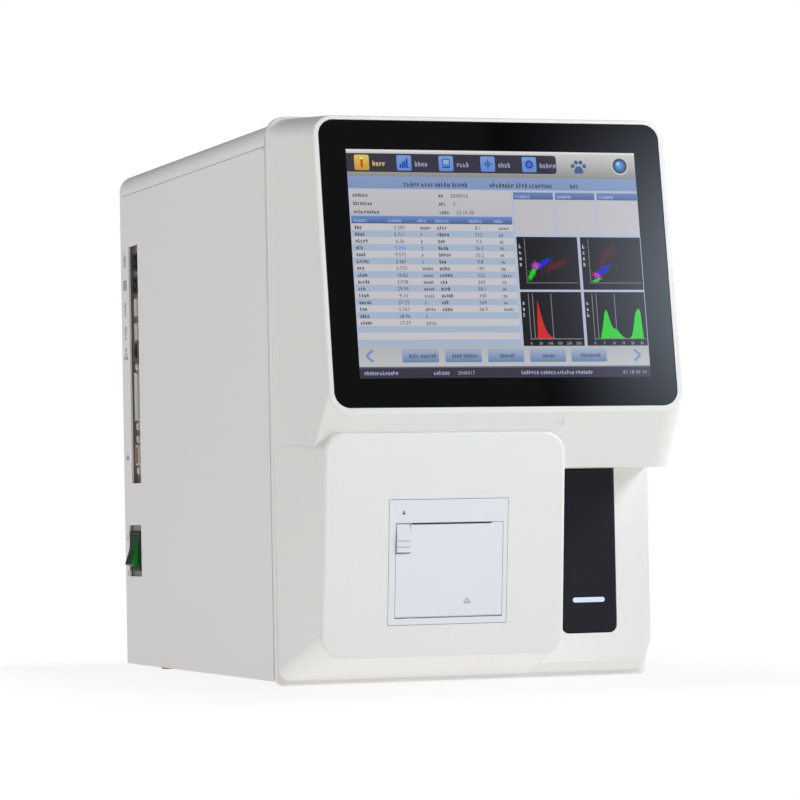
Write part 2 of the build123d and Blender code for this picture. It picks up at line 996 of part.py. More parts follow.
def printer_flap():
    """The paper door: a flat plate that turns on its foot, with two ribs that carry the platen."""
    plate = block(flap_left, flap_right, hinge_drop, slot_y - panel_gap, -flap_thickness, 0)
    below = -flap_thickness - past
    notch_foot = slot_y - lever_length - past
    plate = plate - block(
        flap_left - past, lever_right + panel_gap, notch_foot, slot_y + past, below, past
    )
    slit_left, slit_right = paper_x0 - paper_play, paper_x1 + paper_play
    plate = plate - block(slit_left, slit_right, slot_y - paper_slit, slot_y, below, past)
    plate = plate + cross_bar(hinge_drop, -flap_barrel, flap_barrel, flap_left, flap_right)
    root = -flap_thickness + flap_thickness / 10
    rib = outline(
        [
            (platen_y - rib_foot, root),
            (platen_y + rib_head, root),
            (platen_y + rib_head, platen_z - rib_back),
            (platen_y - platen_radius, platen_z - rib_back),
        ]
    )
    for x in (throat_left + seat_gap, throat_right - seat_gap - flap_rib):
        plate = plate + along_x(rib, x, x + flap_rib)
    hole = platen_shaft + running_fit
    plate = plate - cross_bar(platen_y, platen_z, hole, throat_left - past, throat_right + past)
    bore = flap_pin + running_fit
    return printer_plane * (
        plate - cross_bar(hinge_drop, -flap_barrel, bore, flap_left - past, flap_right + past)
    )


def printer_hinge_pin():
    """The steel pin through the foot of the paper door, held in the bezel's sides."""
    left, right = pin_start + pin_end_gap, pin_stop - pin_end_gap
    return printer_plane * cross_bar(hinge_drop, -flap_barrel, flap_pin, left, right)


def printer_lever():
    """The release lever: a round head on its pin, a slanted thumb facet and two grip grooves."""
    top = lever_pin_y
    foot = slot_y - lever_length
    neck = lever_pivot + lever_tail
    side = outline(
        [
            (top, 0.0),
            (top - lever_facet, lever_lift),
            (foot, lever_lift),
            (foot, -lever_skirt),
            (top - neck, -lever_skirt - panel_gap),
            (top - lever_pivot, -neck),
            (top, -neck),
        ]
    )
    side = side + Pos(top, -lever_pivot) * Circle(lever_pivot)
    for rise in (grip_first, grip_first + grip_pitch):
        side = side - Pos(foot + rise, lever_lift) * Rectangle(grip_width, 2 * grip_depth)
    lever = along_x(side, lever_left, lever_right)
    bore = flap_pin + running_fit
    return printer_plane * (
        lever - cross_bar(top, -lever_pivot, bore, lever_left - past, lever_right + past)
    )


def lever_pin():
    """The pin that the release lever turns on."""
    reach = panel_gap + lever_pin_seat - pin_end_gap
    return printer_plane * cross_bar(
        lever_pin_y, -lever_pivot, flap_pin, lever_left - reach, lever_right + reach
    )


def tear_bar():
    """The serrated steel strip over the paper slot."""
    count = int(paper_width / tooth_pitch)
    left = paper_x0 + 2 * tear_gap
    pitch = (paper_width - 4 * tear_gap) / count
    points = [(left, slot_y + tear_height)]
    for i in range(count):
        points.append((left + i * pitch, slot_y))
        points.append((left + (i + 0.5) * pitch, slot_y - tooth_depth))
    points.append((left + count * pitch, slot_y))
    points.append((left + count * pitch, slot_y + tear_height))
    strip = make_face(Polyline(*points, close=True))
    return printer_plane * extrude(Plane((0, 0, -tear_depth - tear_sheet)) * strip, tear_sheet)


def platen_roller():
    """The rubber roller that feeds the paper, on its steel shaft."""
    left, right = throat_left + seat_gap, throat_right - seat_gap
    shaft = cross_bar(platen_y, platen_z, platen_shaft, left, right)
    roller = cross_bar(platen_y, platen_z, platen_radius, left + platen_end_gap, right - platen_end_gap)
    return printer_plane * (shaft + roller)


def print_head():
    """The thermal print head behind the platen, hung from the top of the paper well."""
    front = platen_z - platen_radius - seat_gap
    left, right = throat_left + past, throat_right - past
    head = block(left, right, platen_y - platen_radius, slot_y + tear_gap, front - head_thickness, front)
    return printer_plane * head


def paper_roll():
    """The roll of thermal paper on its core."""
    roll = cross_bar(roll_y, roll_z, roll_radius, paper_x0, paper_x1)
    return printer_plane * (
        roll - cross_bar(roll_y, roll_z, core_radius, paper_x0 - past, paper_x1 + past)
    )


# Sample door and probe


def sample_door():
    """The black door: a flat plate that turns on a barrel behind its foot."""
    plate = along_y(door_opening(0.0), column_front, column_front + door_thickness)
    left, right = door_left + hinge_end_gap, door_right - hinge_end_gap
    barrel = rod((left, hinge_y, hinge_z), (1, 0, 0), hinge_barrel, right - left)
    web_foot = hinge_z - hinge_web_drop
    web = block(
        left, right, column_front + door_thickness - bite, hinge_y, web_foot, web_foot + hinge_web
    )
    bore = rod(
        (door_left - past, hinge_y, hinge_z), (1, 0, 0), hinge_pin + running_fit, door_width + 2 * past
    )
    slot = Pos(door_middle, light_centre) * SlotOverall(light_width, light_height)
    return plate + barrel + web - bore - along_y(slot, column_front - past, column_front + light_depth)


def status_light_bar():
    """The clear light bar let into the door's face."""
    bar = SlotOverall(light_width - 2 * light_gap, light_height - 2 * light_gap)
    return along_y(
        Pos(door_middle, light_centre) * bar, column_front - light_proud, column_front + light_depth
    )


def door_hinge_pin():
    """The pin that the sample door turns on, held in the liner's sides."""
    left = liner_left - liner_wall + pin_end_gap
    right = liner_right + liner_wall - pin_end_gap
    return rod((left, hinge_y, hinge_z), (1, 0, 0), hinge_pin, right - left)


def tube_holder():
    """The cup for a sample tube, on a foot that is fixed to the back of the door."""
    cup = rod((door_middle, cup_y, cup_foot), (0, 0, 1), cup_radius, cup_height)
    half = cup_web / 2
    back = column_front + door_thickness
    web = block(door_middle - half, door_middle + half, back, cup_y, cup_foot, cup_foot + cup_height)
    return cup + web - rod((door_middle, cup_y, cup_foot + cup_floor), (0, 0, 1), cup_bore, cup_height)


def bay_liner():
    """The black box behind the sample door, open at the front, with a hole for the probe."""
    w = liner_wall
    front = column_front + wall
    box = block(liner_left - w, liner_right + w, front, liner_back, liner_foot - w, liner_top + w)
    box = box - block(liner_left, liner_right, column_front, liner_back - w, liner_foot, liner_top)
    start = liner_left - w - past
    bore = rod(
        (start, hinge_y, hinge_z), (1, 0, 0), hinge_pin + running_fit, liner_right + w + past - start
    )
    return box - bore - rod((door_middle, cup_y, liner_top - past), (0, 0, 1), probe_hole, w + 2 * past)


def probe_tower():
    """The upright plate that carries the probe's rail, folded from the divider."""
    foot = liner_top + tower_margin
    plate = block(divider_face, liner_right, tower_front, tower_front + sheet, foot, tower_top)
    return plate + block(
        divider_face, divider_face + sheet, tower_front, tower_front + tower_fold, foot, tower_top
    )


def probe_rail():
    """The guide rail of the probe's carriage."""
    half = rail_width / 2
    foot = liner_top + tower_margin + wall
    return block(
        door_middle - half, door_middle + half,
        tower_front - rail_depth, tower_front, foot, tower_top - rail_margin
    )


def probe_carriage():
    """The block that runs on the rail and holds the probe out over the tube."""
    half = carriage_width / 2
    back = tower_front - carriage_gap
    head = carriage_foot + carriage_height
    body = block(
        door_middle - half, door_middle + half, back - carriage_depth, back, carriage_foot, head
    )
    groove = rail_width / 2 + seat_gap
    groove_front = tower_front - rail_depth - seat_gap
    body = body - block(
        door_middle - groove, door_middle + groove,
        groove_front, tower_front, carriage_foot - past, head + past
    )
    arm_half = arm_width / 2
    arm_back = back - carriage_depth + past
    arm_top = carriage_foot + arm_height
    body = body + block(
        door_middle - arm_half, door_middle + arm_half,
        cup_y - arm_reach, arm_back, carriage_foot, arm_top
    )
    hole = rod(
        (door_middle, cup_y, carriage_foot - past),
        (0, 0, 1), probe_radius + running_fit, carriage_height
    )
    return body - hole


def sample_probe():
    """The steel aspiration needle, with a collar that sits on the carriage's arm."""
    collar = carriage_foot + arm_height
    needle = rod(
        (door_middle, cup_y, probe_tip), (0, 0, 1), probe_radius, collar + probe_head - probe_tip
    )
    return needle + rod((door_middle, cup_y, collar), (0, 0, 1), collar_radius, collar_height)


def probe_motor():
    """The stepper motor behind the top of the tower."""
    half = motor_size / 2
    front = tower_front + sheet
    head = tower_top - motor_drop
    body = block(
        door_middle - half, door_middle + half, front, front + motor_length, head - motor_size, head
    )
    return chamfer(body.edges().filter_by(Axis.Y), motor_chamfer)


# Cabinet


def base_pan():
    """The folded floor tray, with upright flanges along the sides."""
    pan = block(-inner_side, inner_side, cabinet_front, rear_inner, pan_height, floor_top)
    back = rear_inner - sheet - past
    for side in (-1, 1):
        x0, x1 = sorted((side * inner_side, side * (inner_side - sheet)))
        pan = pan + block(x0, x1, flange_front, back, pan_height, pan_height + pan_flange)
    return pan


def side_sheet(side):
    """One side panel: a flat sheet with a flange turned in behind and a small notch at the seam."""
    x0, x1 = sorted((side * half_cabinet, side * inner_side))
    panel = block(x0, x1, cabinet_front, cabinet_back, cabinet_bottom, cover_seam)
    f0, f1 = sorted((side * inner_side, side * (inner_side - rear_flange)))
    flange_top = cover_seam - flange_drop
    panel = panel + block(f0, f1, rear_inner - sheet, rear_inner, floor_top + flange_gap, flange_top)
    notch_front = cabinet_front + 2 * past
    notch_foot = cover_seam - seam_notch_depth
    return panel - block(
        x0 - past, x1 + past, notch_front, notch_front + seam_notch, notch_foot, cover_seam + past
    )


def left_side_panel():
    """The left side panel, cut out for the ports and the power switch, with one small dimple."""
    left, right = -half_cabinet - past, -inner_side + past
    panel = side_sheet(-1) - block(left, right, ports_front, ports_back, ports_foot, ports_top)
    panel = panel - block(left, right, switch_front, switch_back, switch_foot, switch_top)
    dimple = (left, cabinet_back - dimple_from_back, dimple_height)
    return panel - rod(dimple, (1, 0, 0), dimple_radius, past + dimple_depth)


def right_side_panel():
    """The plain right side panel."""
    return side_sheet(1)


def top_cover():
    """The lift-off top: rounded side edges, a closed rear end and flanges that tuck into the sides."""
    foot = cover_seam + cover_gap
    outer = rectangle(-half_cabinet, half_cabinet, foot, cabinet_top, [0, 0, top_radius, top_radius])
    bend = top_radius - sheet
    inner = rectangle(
        -inner_side, inner_side, foot - cover_inner, cabinet_top - sheet, [0, 0, bend, bend]
    )
    cover = along_y(outer, cabinet_front, cabinet_back) - along_y(
        inner, cabinet_front - past, rear_inner
    )
    tuck_back = rear_inner - 2 * sheet
    for side in (-1, 1):
        x0, x1 = sorted((side * inner_side, side * (inner_side - sheet)))
        cover = cover + block(x0, x1, flange_front, tuck_back, foot - cover_tuck, foot + 2 * sheet)
    return cover


def rear_panel():
    """The rear panel, with the fan's vent, the mains inlet's cut-out, the hose holes and air slots."""
    edge = inner_side - rear_gap
    start, end = rear_inner - past, cabinet_back + past
    panel = block(-edge, edge, rear_inner, cabinet_back, cabinet_bottom, cover_seam)
    panel = panel - along_y(Pos(fan_x, fan_z) * Circle(fan_bore + bite), start, end)
    inlet = Rectangle(inlet_width + 2 * rear_gap, inlet_tall + 2 * rear_gap)
    panel = panel - along_y(Pos(inlet_x, inlet_height) * inlet, start, end)
    for x in hose_places:
        panel = panel - along_y(Pos(x, hose_height) * Circle(hose_thread + tear_gap), start, end)
    for i in range(vent_count):
        place = Pos(-inner_side + vent_side + i * vent_pitch, cover_seam - vent_drop)
        panel = panel - along_y(place * Rectangle(vent_width, vent_height), start, end)
    return panel


def feet():
    """Four round rubber feet under the floor tray."""
    pieces = []
    for x in (-1, 1):
        for y in (cabinet_front + foot_from_front, cabinet_back - foot_from_back):
            centre = (x * (half_cabinet - foot_inset), y, -foot_reach)
            foot = rod(centre, (0, 0, 1), foot_radius, pan_height + foot_reach)
            pieces.append(chamfer(foot.faces().sort_by(Axis.Z)[0].edges(), foot_chamfer))
    return several(pieces)


def panel_screws():
    """The screws that hold the rear panel to the side flanges."""
    pieces = []
    first = cabinet_bottom + screw_first
    pitch = (cover_seam - screw_last - first) / (screw_count - 1)
    for x in (-1, 1):
        for i in range(screw_count):
            place = (x * (inner_side - rear_flange / 2), cabinet_back, first + i * pitch)
            pieces.append(rod(place, (0, 1, 0), screw_radius, screw_height))
    return several(pieces)


# Ports and switch


def tray(front, back, bottom, top, depth, cuts):
    """A shallow sheet tray behind a window of the left side panel, with holes for what it carries."""
    inner = tray_margin
    outer = tray_margin + tray_sheet
    face = -half_cabinet + depth
    body = block(
        -inner_side, face + tray_sheet, front - outer, back + outer, bottom - outer, top + outer
    )
    body = body - block(
        -inner_side - past, face, front - inner, back + inner, bottom - inner, top + inner
    )
    for y0, y1, z0, z1 in cuts:
        body = body - block(face - past, face + tray_sheet + past, y0, y1, z0, z1)
    return body


def port_cut(height, half_y, half_z):
    """The hole in the tray for one port."""
    reach_y, reach_z = half_y + plug_fit, half_z + plug_fit
    return (port_line - reach_y, port_line + reach_y, height - reach_z, height + reach_z)


def connector_tray():
    """The recessed port plate."""
    cuts = [port_cut(z, round_half, round_half) for z in (mouse_height, keyboard_height)]
    cuts += [port_cut(z, usb_side, usb_half) for z in usb_heights]
    cuts.append(port_cut(network_height, network_side, network_half))
    d_side = shell_half + d_body_side
    cuts.append(port_cut(parallel_height, d_side, parallel_half + d_body_end))
    cuts.append(port_cut(serial_height, d_side, serial_half + d_body_end))
    return tray(ports_front, ports_back, ports_foot, ports_top, tray_depth, cuts)


def board_port(height, half_y, half_z, proud):
    """The body of a port: it passes through the tray and reaches the board behind it."""
    front, back = port_line - half_y, port_line + half_y
    foot, head = height - half_z, height + half_z
    seat = port_face + tray_sheet + plug_fit
    return block(port_face - proud, port_back, front, back, foot, head) + block(
        seat, port_back, front, board_front, foot, head
    )


def round_ports():
    """The two round ports for a mouse and a keyboard."""
    pieces = []
    start = port_face - past
    for height in (mouse_height, keyboard_height):
        port = board_port(height, round_half, round_half, port_proud)
        ring = rod((start, port_line, height), (1, 0, 0), round_bore, port_depth / 2)
        pieces.append(
            port - (ring - rod((start, port_line, height), (1, 0, 0), round_core, port_depth / 2))
        )
    return several(pieces)


def usb_ports():
    """The two USB ports, each with its tongue."""
    pieces = []
    side = usb_side - usb_wall
    tall = usb_half - usb_end_wall
    for height in usb_heights:
        port = board_port(height, usb_side, usb_half, port_proud)
        mouth = block(
            port_face - past, port_face + usb_mouth, port_line - side, port_line + side,
            height - tall, height + tall,
        )
        tongue = block(
            port_face + usb_end_wall, port_back, port_line - usb_tongue / 2, port_line + usb_tongue,
            height - tall + usb_tongue_gap, height + tall - usb_tongue_gap,
        )
        pieces.append(port - (mouth - tongue))
    return several(pieces)


def network_port():
    """The network socket, with the step for its plug's latch."""
    port = board_port(network_height, network_side, network_half, port_proud)
    start, end = port_face - past, port_back - network_back_wall
    front = port_line - network_side + network_front_wall
    back = port_line + network_side - network_latch_wall
    tall = network_half - network_end_wall
    mouth = block(start, end, front, back, network_height - tall, network_height + tall)
    latch = block(
        start, end, back - bite, back + network_latch,
        network_height - tall / 2, network_height + tall / 2
    )
    return port - mouth - latch


def d_port(height, half_length, pins):
    """A D-shaped connector: its trapezoid shell stands off the plate, with rows of contacts inside."""
    reach = tray_depth - shell_back
    body = board_port(height, shell_half + d_body_side, half_length + d_body_end, d_body_proud)
    wide, narrow = half_length, half_length - shell_narrow
    side = shell_half
    inner = side - shell_wall
    rim = outline([(-side, -narrow), (side, -wide), (side, wide), (-side, narrow)], shell_narrow)
    w = shell_wall
    corners = [(-inner, -narrow + w), (inner, -wide + w), (inner, wide - w), (-inner, narrow - w)]
    room = outline(corners, shell_narrow - w)
    front = port_face - reach
    seat = Plane((front, port_line, height), x_dir=(0, 1, 0), z_dir=(1, 0, 0))
    body = body + extrude(seat * (rim - room), reach)
    half = pin_width / 2
    for row, count in ((pin_row, pins), (-pin_row, pins - 1)):
        for i in range(count):
            y = port_line + row
            z = height + (i - (count - 1) / 2) * pin_pitch
            body = body + block(front + tray_sheet, port_face, y - half, y + half, z - half, z + half)
    return body


def parallel_port():
    """The long 25-way connector."""
    return d_port(parallel_height, parallel_half, parallel_pin_count)


def serial_port():
    """The short 9-way connector."""
    return d_port(serial_height, serial_half, serial_pin_count)


def port_screws():
    """The hexagon stand-off screws beside the two D-shaped connectors."""
    pieces = []
    for height, half in ((parallel_height, parallel_half), (serial_height, serial_half)):
        for side in (-1, 1):
            place = (port_face, port_line, height + side * (half + nut_offset))
            nut = extrude(Plane(place, z_dir=(-1, 0, 0)) * RegularPolygon(nut_radius, 6), nut_height)
            bore = (port_face - past, place[1], place[2])
            pieces.append(nut - rod(bore, (-1, 0, 0), nut_bore, nut_height))
    return several(pieces)


def switch_plate():
    """The shallow tray that the power switch snaps into."""
    half = switch_inner + plug_fit
    cut = (pivot_y - half, pivot_y + half, pivot_z - half, pivot_z + half)
    return tray(switch_front, switch_back, switch_foot, switch_top, switch_recess, [cut])


def switch_housing():
    """The power switch's frame and body, with the well that the rocker turns in."""
    half = bezel_size / 2
    inner = switch_inner
    frame = block(
        -half_cabinet, switch_face, pivot_y - half, pivot_y + half, pivot_z - half, pivot_z + half
    )
    frame = chamfer(frame.faces().sort_by(Axis.X)[0].edges(), bezel_chamfer)
    back = switch_face + switch_body
    frame = frame + block(
        switch_face, back, pivot_y - inner, pivot_y + inner, pivot_z - inner, pivot_z + inner
    )
    room_y = rocker_width / 2 + seat_gap
    room_z = rocker_radius + seat_gap
    well = pivot_x + rocker_radius + past
    frame = frame - block(
        -half_cabinet - past, well, pivot_y - room_y,
        pivot_y + room_y, pivot_z - room_z, pivot_z + room_z
    )
    for y in (pivot_y - blade_spread_y, pivot_y + blade_spread_y):
        for z in (pivot_z - blade_spread_z, pivot_z, pivot_z + blade_spread_z):
            frame = frame + block(
                back - past, back + blade_length, y - blade_sheet / 2, y + blade_sheet / 2,
                z - blade_width / 2, z + blade_width / 2,
            )
    reach = room_y + pin_end_gap + rocker_pin
    return frame - rod(
        (pivot_x, pivot_y - reach, pivot_z), (0, 1, 0), rocker_pin + running_fit, 2 * reach
    )


def switch_rocker():
    """The green rocker: two facets over a round body, at rest with its foot pressed out."""
    edge = rocker_radius + past
    brow = rocker_face + rocker_bow
    facets = outline(
        [(-edge, brow), (0, rocker_face), (edge, brow), (edge, -rocker_belly), (-edge, -rocker_belly)]
    )
    half = rocker_width / 2
    seat = Plane((pivot_x, pivot_y - half, pivot_z), x_dir=(0, 0, -1), z_dir=(0, 1, 0))
    section = Circle(rocker_radius) & facets
    rocker = extrude(seat * Rot(0, 0, rocker_rest) * section, rocker_width)
    reach = half + seat_gap + rocker_pin + running_fit
    return rocker + rod((pivot_x, pivot_y - reach, pivot_z), (0, 1, 0), rocker_pin, 2 * reach)


# Rear


def mains_inlet():
    """The three-pin mains inlet, snapped into the rear panel."""
    x, z = inlet_x, inlet_height
    half_x, half_z = inlet_width / 2, inlet_tall / 2
    brim_x, brim_z = half_x + inlet_flange, half_z + inlet_flange
    body = block(
        x - brim_x, x + brim_x, cabinet_back, cabinet_back + inlet_flange_depth, z - brim_z, z + brim_z
    )
    body = chamfer(body.faces().sort_by(Axis.Y)[-1].edges(), bezel_chamfer)
    front = rear_inner - inlet_depth
    body = body + block(x - half_x, x + half_x, front, cabinet_back, z - half_z, z + half_z)
    side, tall = half_x - inlet_flange, half_z - inlet_flange - pin_end_gap
    slant = inlet_slant
    room = outline(
        [(-side, -tall), (side, -tall), (side, tall - slant), (side - slant, tall), (slant - side, tall),
         (-side, tall - slant)],
        bezel_chamfer,
    )
    well = rear_inner - inlet_well
    body = body - along_y(Pos(x, z) * room, well, cabinet_back + 2 * inlet_flange_depth)
    half, tall = inlet_pin / 2, inlet_pin_tall / 2
    spread = inlet_pin_spread
    for dx, dz in ((-spread, 0), (spread, 0), (0, inlet_earth_rise)):
        px, pz = x + dx, z + inlet_pin_rise + dz
        body = body + block(px - half, px + half, well - bite, cabinet_back - past, pz - tall, pz + tall)
    tag = inlet_tag / 2
    for dx in (-spread, 0, spread):
        px = x + dx
        body = body + block(
            px - tag, px + tag, front - blade_length,
            front + bite, z - blade_sheet / 2, z + blade_sheet / 2
        )
    return body


def ground_terminal():
    """The earth stud beside the mains inlet, with its nut."""
    place = (inlet_x + ground_offset, cabinet_back, inlet_height)
    return rod(place, (0, 1, 0), stud_radius, stud_length) + rod(place, (0, 1, 0), stud_nut, stud_nut)


def hose_ports():
    """The barbed hose fittings for diluent, lyse, cleaner and waste."""
    pieces = []
    for x in hose_places:
        profile = Polyline(
            (0.0, -hose_tail),
            (hose_thread, -hose_tail),
            (hose_thread, 0.0),
            (hose_flange, 0.0),
            (hose_flange, inlet_flange_depth),
            (hose_neck, inlet_flange_depth),
            (hose_neck, hose_barb_start),
            (hose_barb, hose_barb_start),
            (hose_tip, hose_reach),
            (0.0, hose_reach),
            close=True,
        )
        fitting = revolve(Plane.XY * make_face(profile), Axis.Y)
        fitting = fitting - rod((0, hose_barb_start, 0), (0, 1, 0), hose_bore, hose_reach)
        pieces.append(Pos(x, cabinet_back, hose_height) * fitting)
    return several(pieces)


def fan_frame():
    """The cooling fan's square frame, with four struts that carry the rotor's bearing."""
    half = fan_size / 2
    face = rectangle(fan_x - half, fan_x + half, fan_z - half, fan_z + half, fan_corner)
    face = face - Pos(fan_x, fan_z) * Circle(fan_bore)
    corner = half - fan_hole_inset
    for x in (fan_x - corner, fan_x + corner):
        for z in (fan_z - corner, fan_z + corner):
            face = face - Pos(x, z) * Circle(fan_hole)
    front = rear_inner - fan_depth
    span = 2 * fan_bore + past
    struts = Rectangle(span, fan_strut) + Rectangle(fan_strut, span) + Circle(rotor_hub)
    return along_y(face, front, rear_inner) + along_y(
        Pos(fan_x, fan_z) * struts, front, front + fan_strut
    )


def fan_rotor():
    """The fan's hub and its twisted blades."""
    start = rear_inner - fan_depth + fan_strut + seat_gap
    rotor = rod((fan_x, start, fan_z), (0, 1, 0), rotor_hub, rotor_length)
    length = rotor_radius - rotor_hub
    hub = Plane((fan_x, start, fan_z), z_dir=(0, 1, 0))
    place = Pos(rotor_hub + length / 2 - bite, 0, rotor_length / 2) * Rot(blade_pitch, 0, 0)
    blade = place * Box(length + 2 * bite, blade_wall, blade_chord)
    for i in range(rotor_blade_count):
        rotor = rotor + hub * Rot(0, 0, 360 / rotor_blade_count * i) * blade
    return rotor


def fan_grille():
    """The stamped finger guard over the fan's vent."""
    guard = Circle(fan_bore + bite + grille_border) - Circle(fan_bore + bite)
    for radius in grille_rings:
        guard = guard + (Circle(radius + grille_wire / 2) - Circle(radius - grille_wire / 2))
    for turn in (45, 135):
        guard = guard + Rectangle(2 * (fan_bore + grille_border - past), grille_wire, rotation=turn)
    return along_y(Pos(fan_x, fan_z) * guard, cabinet_back, cabinet_back + grille_sheet)


# Inside


def divider_plate():
    """The upright sheet that carries the fluid parts, with a foot flange on the tray."""
    plate = block(divider, divider_face, divider_front, divider_back, floor_top, divider_top)
    return plate + block(
        divider - divider_foot, divider, divider_front, divider_back, floor_top, floor_top + sheet
    )


def main_board():
    """The main circuit board behind the ports."""
    return block(
        board_left, board_right, board_front,
        board_front + board_sheet, ports_foot, ports_top - board_top_gap
    )


def board_chips():
    """The processor's heat sink, the memory and the chip that stand on the main board."""
    left = board_left + sink_offset
    foot = ports_foot + sink_rise
    root = board_front - sink_base
    sink = block(left, left + sink_width, root, board_front, foot, foot + sink_height)
    for i in range(fin_count):
        fin = left + past + i * fin_pitch
        sink = sink + block(fin, fin + fin_sheet, root - fin_height, root, foot, foot + sink_height)
    slot = board_left + memory_offset
    low = ports_foot + memory_rise
    memory = block(
        slot, slot + memory_sheet, board_front - memory_depth, board_front, low, low + memory_length
    )
    right = divider - chip_offset
    base = ports_foot + chip_rise
    chip = block(
        right - chip_size, right, board_front - chip_height, board_front, base, base + chip_size
    )
    return several([sink, memory, chip])


def board_standoffs():
    """The pillars between the main board and the rear panel."""
    pieces = []
    start = board_front + board_sheet
    for x in (-inner_side + standoff_left, divider - standoff_right):
        for z in (ports_foot + standoff_foot, ports_top - standoff_top):
            pieces.append(rod((x, start, z), (0, 1, 0), standoff_radius, rear_inner - start))
    return several(pieces)


def power_supply():
    """The power supply in its folded case on the tray."""
    left, right = -inner_side + supply_side, divider - supply_divider_gap
    back = cabinet_back - supply_from_back
    front = back - supply_length
    case = block(left, right, front, back, floor_top, floor_top + supply_height)
    low = floor_top + supply_side
    for i in range(supply_slot_count):
        x = left + supply_side + i * supply_slot_pitch
        slot = block(x, x + supply_slot_width, front - past, front + past, low, low + supply_slot_height)
        case = case - slot
    return case


def valve_manifold():
    """The drilled block under the solenoid valves."""
    right = divider_face + manifold_width
    return block(
        divider_face, right, manifold_front, manifold_back, floor_top + manifold_rise, manifold_top
    )


def solenoid_valves():
    """The solenoid valves in a row."""
    pieces = []
    for i in range(valve_count):
        x, y = divider_face + manifold_width / 2, manifold_front + manifold_margin + i * valve_pitch
        body = rod((x, y, manifold_top), (0, 0, 1), valve_radius, valve_height)
        cap = rod(
            (x, y, manifold_top + valve_height - past), (0, 0, 1), valve_cap, valve_cap_height + past
        )
        pieces.append(body + cap)
    return several(pieces)


def reaction_chambers():
    """The two counting chambers on their bracket, each a cup with a conical foot."""
    front = divider_front + chamber_step
    shelf = floor_top + chamber_rise
    length = chamber_pitch + 2 * chamber_end
    rack = block(
        divider_face, divider_face + bracket_width, front, front + length, shelf, shelf + chamber_shelf
    )
    for i in range(2):
        profile = Polyline(
            (0.0, -chamber_tail),
            (chamber_spout, -chamber_tail),
            (chamber_spout, -chamber_cone),
            (chamber_radius, -chamber_shoulder),
            (chamber_radius, chamber_top),
            (0.0, chamber_top),
            close=True,
        )
        cup = revolve(Plane.XZ * make_face(profile), Axis.Z)
        middle = front + chamber_end + i * chamber_pitch
        rack = rack + Pos(divider + chamber_from_divider, middle, shelf) * cup
    return rack


def optical_bench():
    """The flow cell's optical bench: a cast base, the laser barrel and the detector."""
    x = divider_face + beam_offset
    z = bench_top + beam_height
    base = block(
        divider_face, divider_face + bench_width,
        bench_front, bench_back, bench_top - bench_base, bench_top
    )
    laser_front = bench_front + laser_start
    laser = rod((x, laser_front, z), (0, 1, 0), laser_radius, laser_length)
    detector_back = bench_back - detector_end
    detector = rod((x, detector_back - detector_length, z), (0, 1, 0), detector_radius, detector_length)
    middle = (laser_front + laser_length + detector_back - detector_length) / 2
    cell_half = cell_length / 2
    side = cell_width / 2
    cell = block(
        x - side, x + side, middle - cell_half, middle + cell_half, bench_top, bench_top + cell_height
    )
    beam = block(
        x - beam_half, x + beam_half, laser_front + laser_length - past,
        detector_back - detector_length + past,
        z - beam_half, z + beam_half,
    )
    half = saddle_width / 2
    saddles = block(
        x - half, x + half, laser_front + saddle_width,
        laser_front + laser_length - past, bench_top, z - beam_half
    )
    saddles = saddles + block(
        x - half, x + half, detector_back - detector_length + past,
        detector_back - past, bench_top, z - beam_half
    )
    return base + laser + detector + cell + beam + saddles


def syringe_frame():
    """The C-shaped frame that holds the dosing syringe."""
    front, back = syringe_y - syringe_half, syringe_y + syringe_half
    right = syringe_x + shelf_reach
    head = syringe_seat + barrel_length
    inner = divider_face + frame_sheet
    spine = block(divider_face, inner, front, back, syringe_seat - frame_foot, head + frame_top)
    roof = block(inner - past, right, front, back, head, head + frame_top)
    shelf = block(inner - past, right, front, back, syringe_seat - shelf_height, syringe_seat)
    bore = rod((syringe_x, syringe_y, syringe_seat - shelf_height - past), (0, 0, 1),
               plunger_rod + plunger_rod_fit, shelf_height + 2 * past)
    return spine + roof + shelf - bore


def syringe_barrel():
    """The glass barrel between the frame's shelves."""
    barrel = rod((syringe_x, syringe_y, syringe_seat), (0, 0, 1), barrel_radius, barrel_length)
    depth = barrel_length - barrel_roof
    return barrel - rod(
        (syringe_x, syringe_y, syringe_seat - past), (0, 0, 1), barrel_bore, depth + past
    )


def syringe_plunger():
    """The plunger: its head in the barrel, its rod through the shelf, and the drive block below."""
    low = syringe_seat - plunger_rod_down
    head_z = syringe_seat + plunger_rise
    head = rod((syringe_x, syringe_y, head_z), (0, 0, 1), barrel_bore - plunger_fit, plunger_head)
    shaft = rod((syringe_x, syringe_y, low), (0, 0, 1), plunger_rod, head_z + wall - low)
    left = divider_face + frame_sheet + seat_gap
    right = syringe_x + shelf_reach - 2 * past
    half = drive_half
    foot = low - drive_height + 2 * past
    return head + shaft + block(
        left, right, syringe_y - half, syringe_y + half, foot, foot + drive_height
    )


def vacuum_pump():
    """The vacuum pump: a motor and its diaphragm head on the tray."""
    front = pump_back - pump_head_length
    start = front - pump_motor_length
    motor = rod(
        (pump_x, start, floor_top + pump_motor_rise), (0, 1, 0), pump_motor_radius, pump_motor_length
    )
    half = pump_head_width / 2
    head = block(pump_x - half, pump_x + half, front, pump_back, floor_top, floor_top + pump_head_height)
    side = pump_saddle_width / 2
    saddle = block(
        pump_x - side, pump_x + side, start + pump_saddle_end, front - pump_saddle_end, floor_top,
        floor_top + pump_saddle_height,
    )
    return motor + head + saddle


def waste_chamber():
    """The sealed chamber that gathers waste before the pump."""
    lid = floor_top + waste_height
    spout = lid + waste_lid_height
    body = rod((waste_x, waste_y, floor_top), (0, 0, 1), waste_radius, waste_height)
    body = body + rod((waste_x, waste_y, lid), (0, 0, 1), waste_radius + waste_lid, waste_lid_height)
    return body + rod((waste_x, waste_y, spout), (0, 0, 1), waste_spout, waste_spout_height)


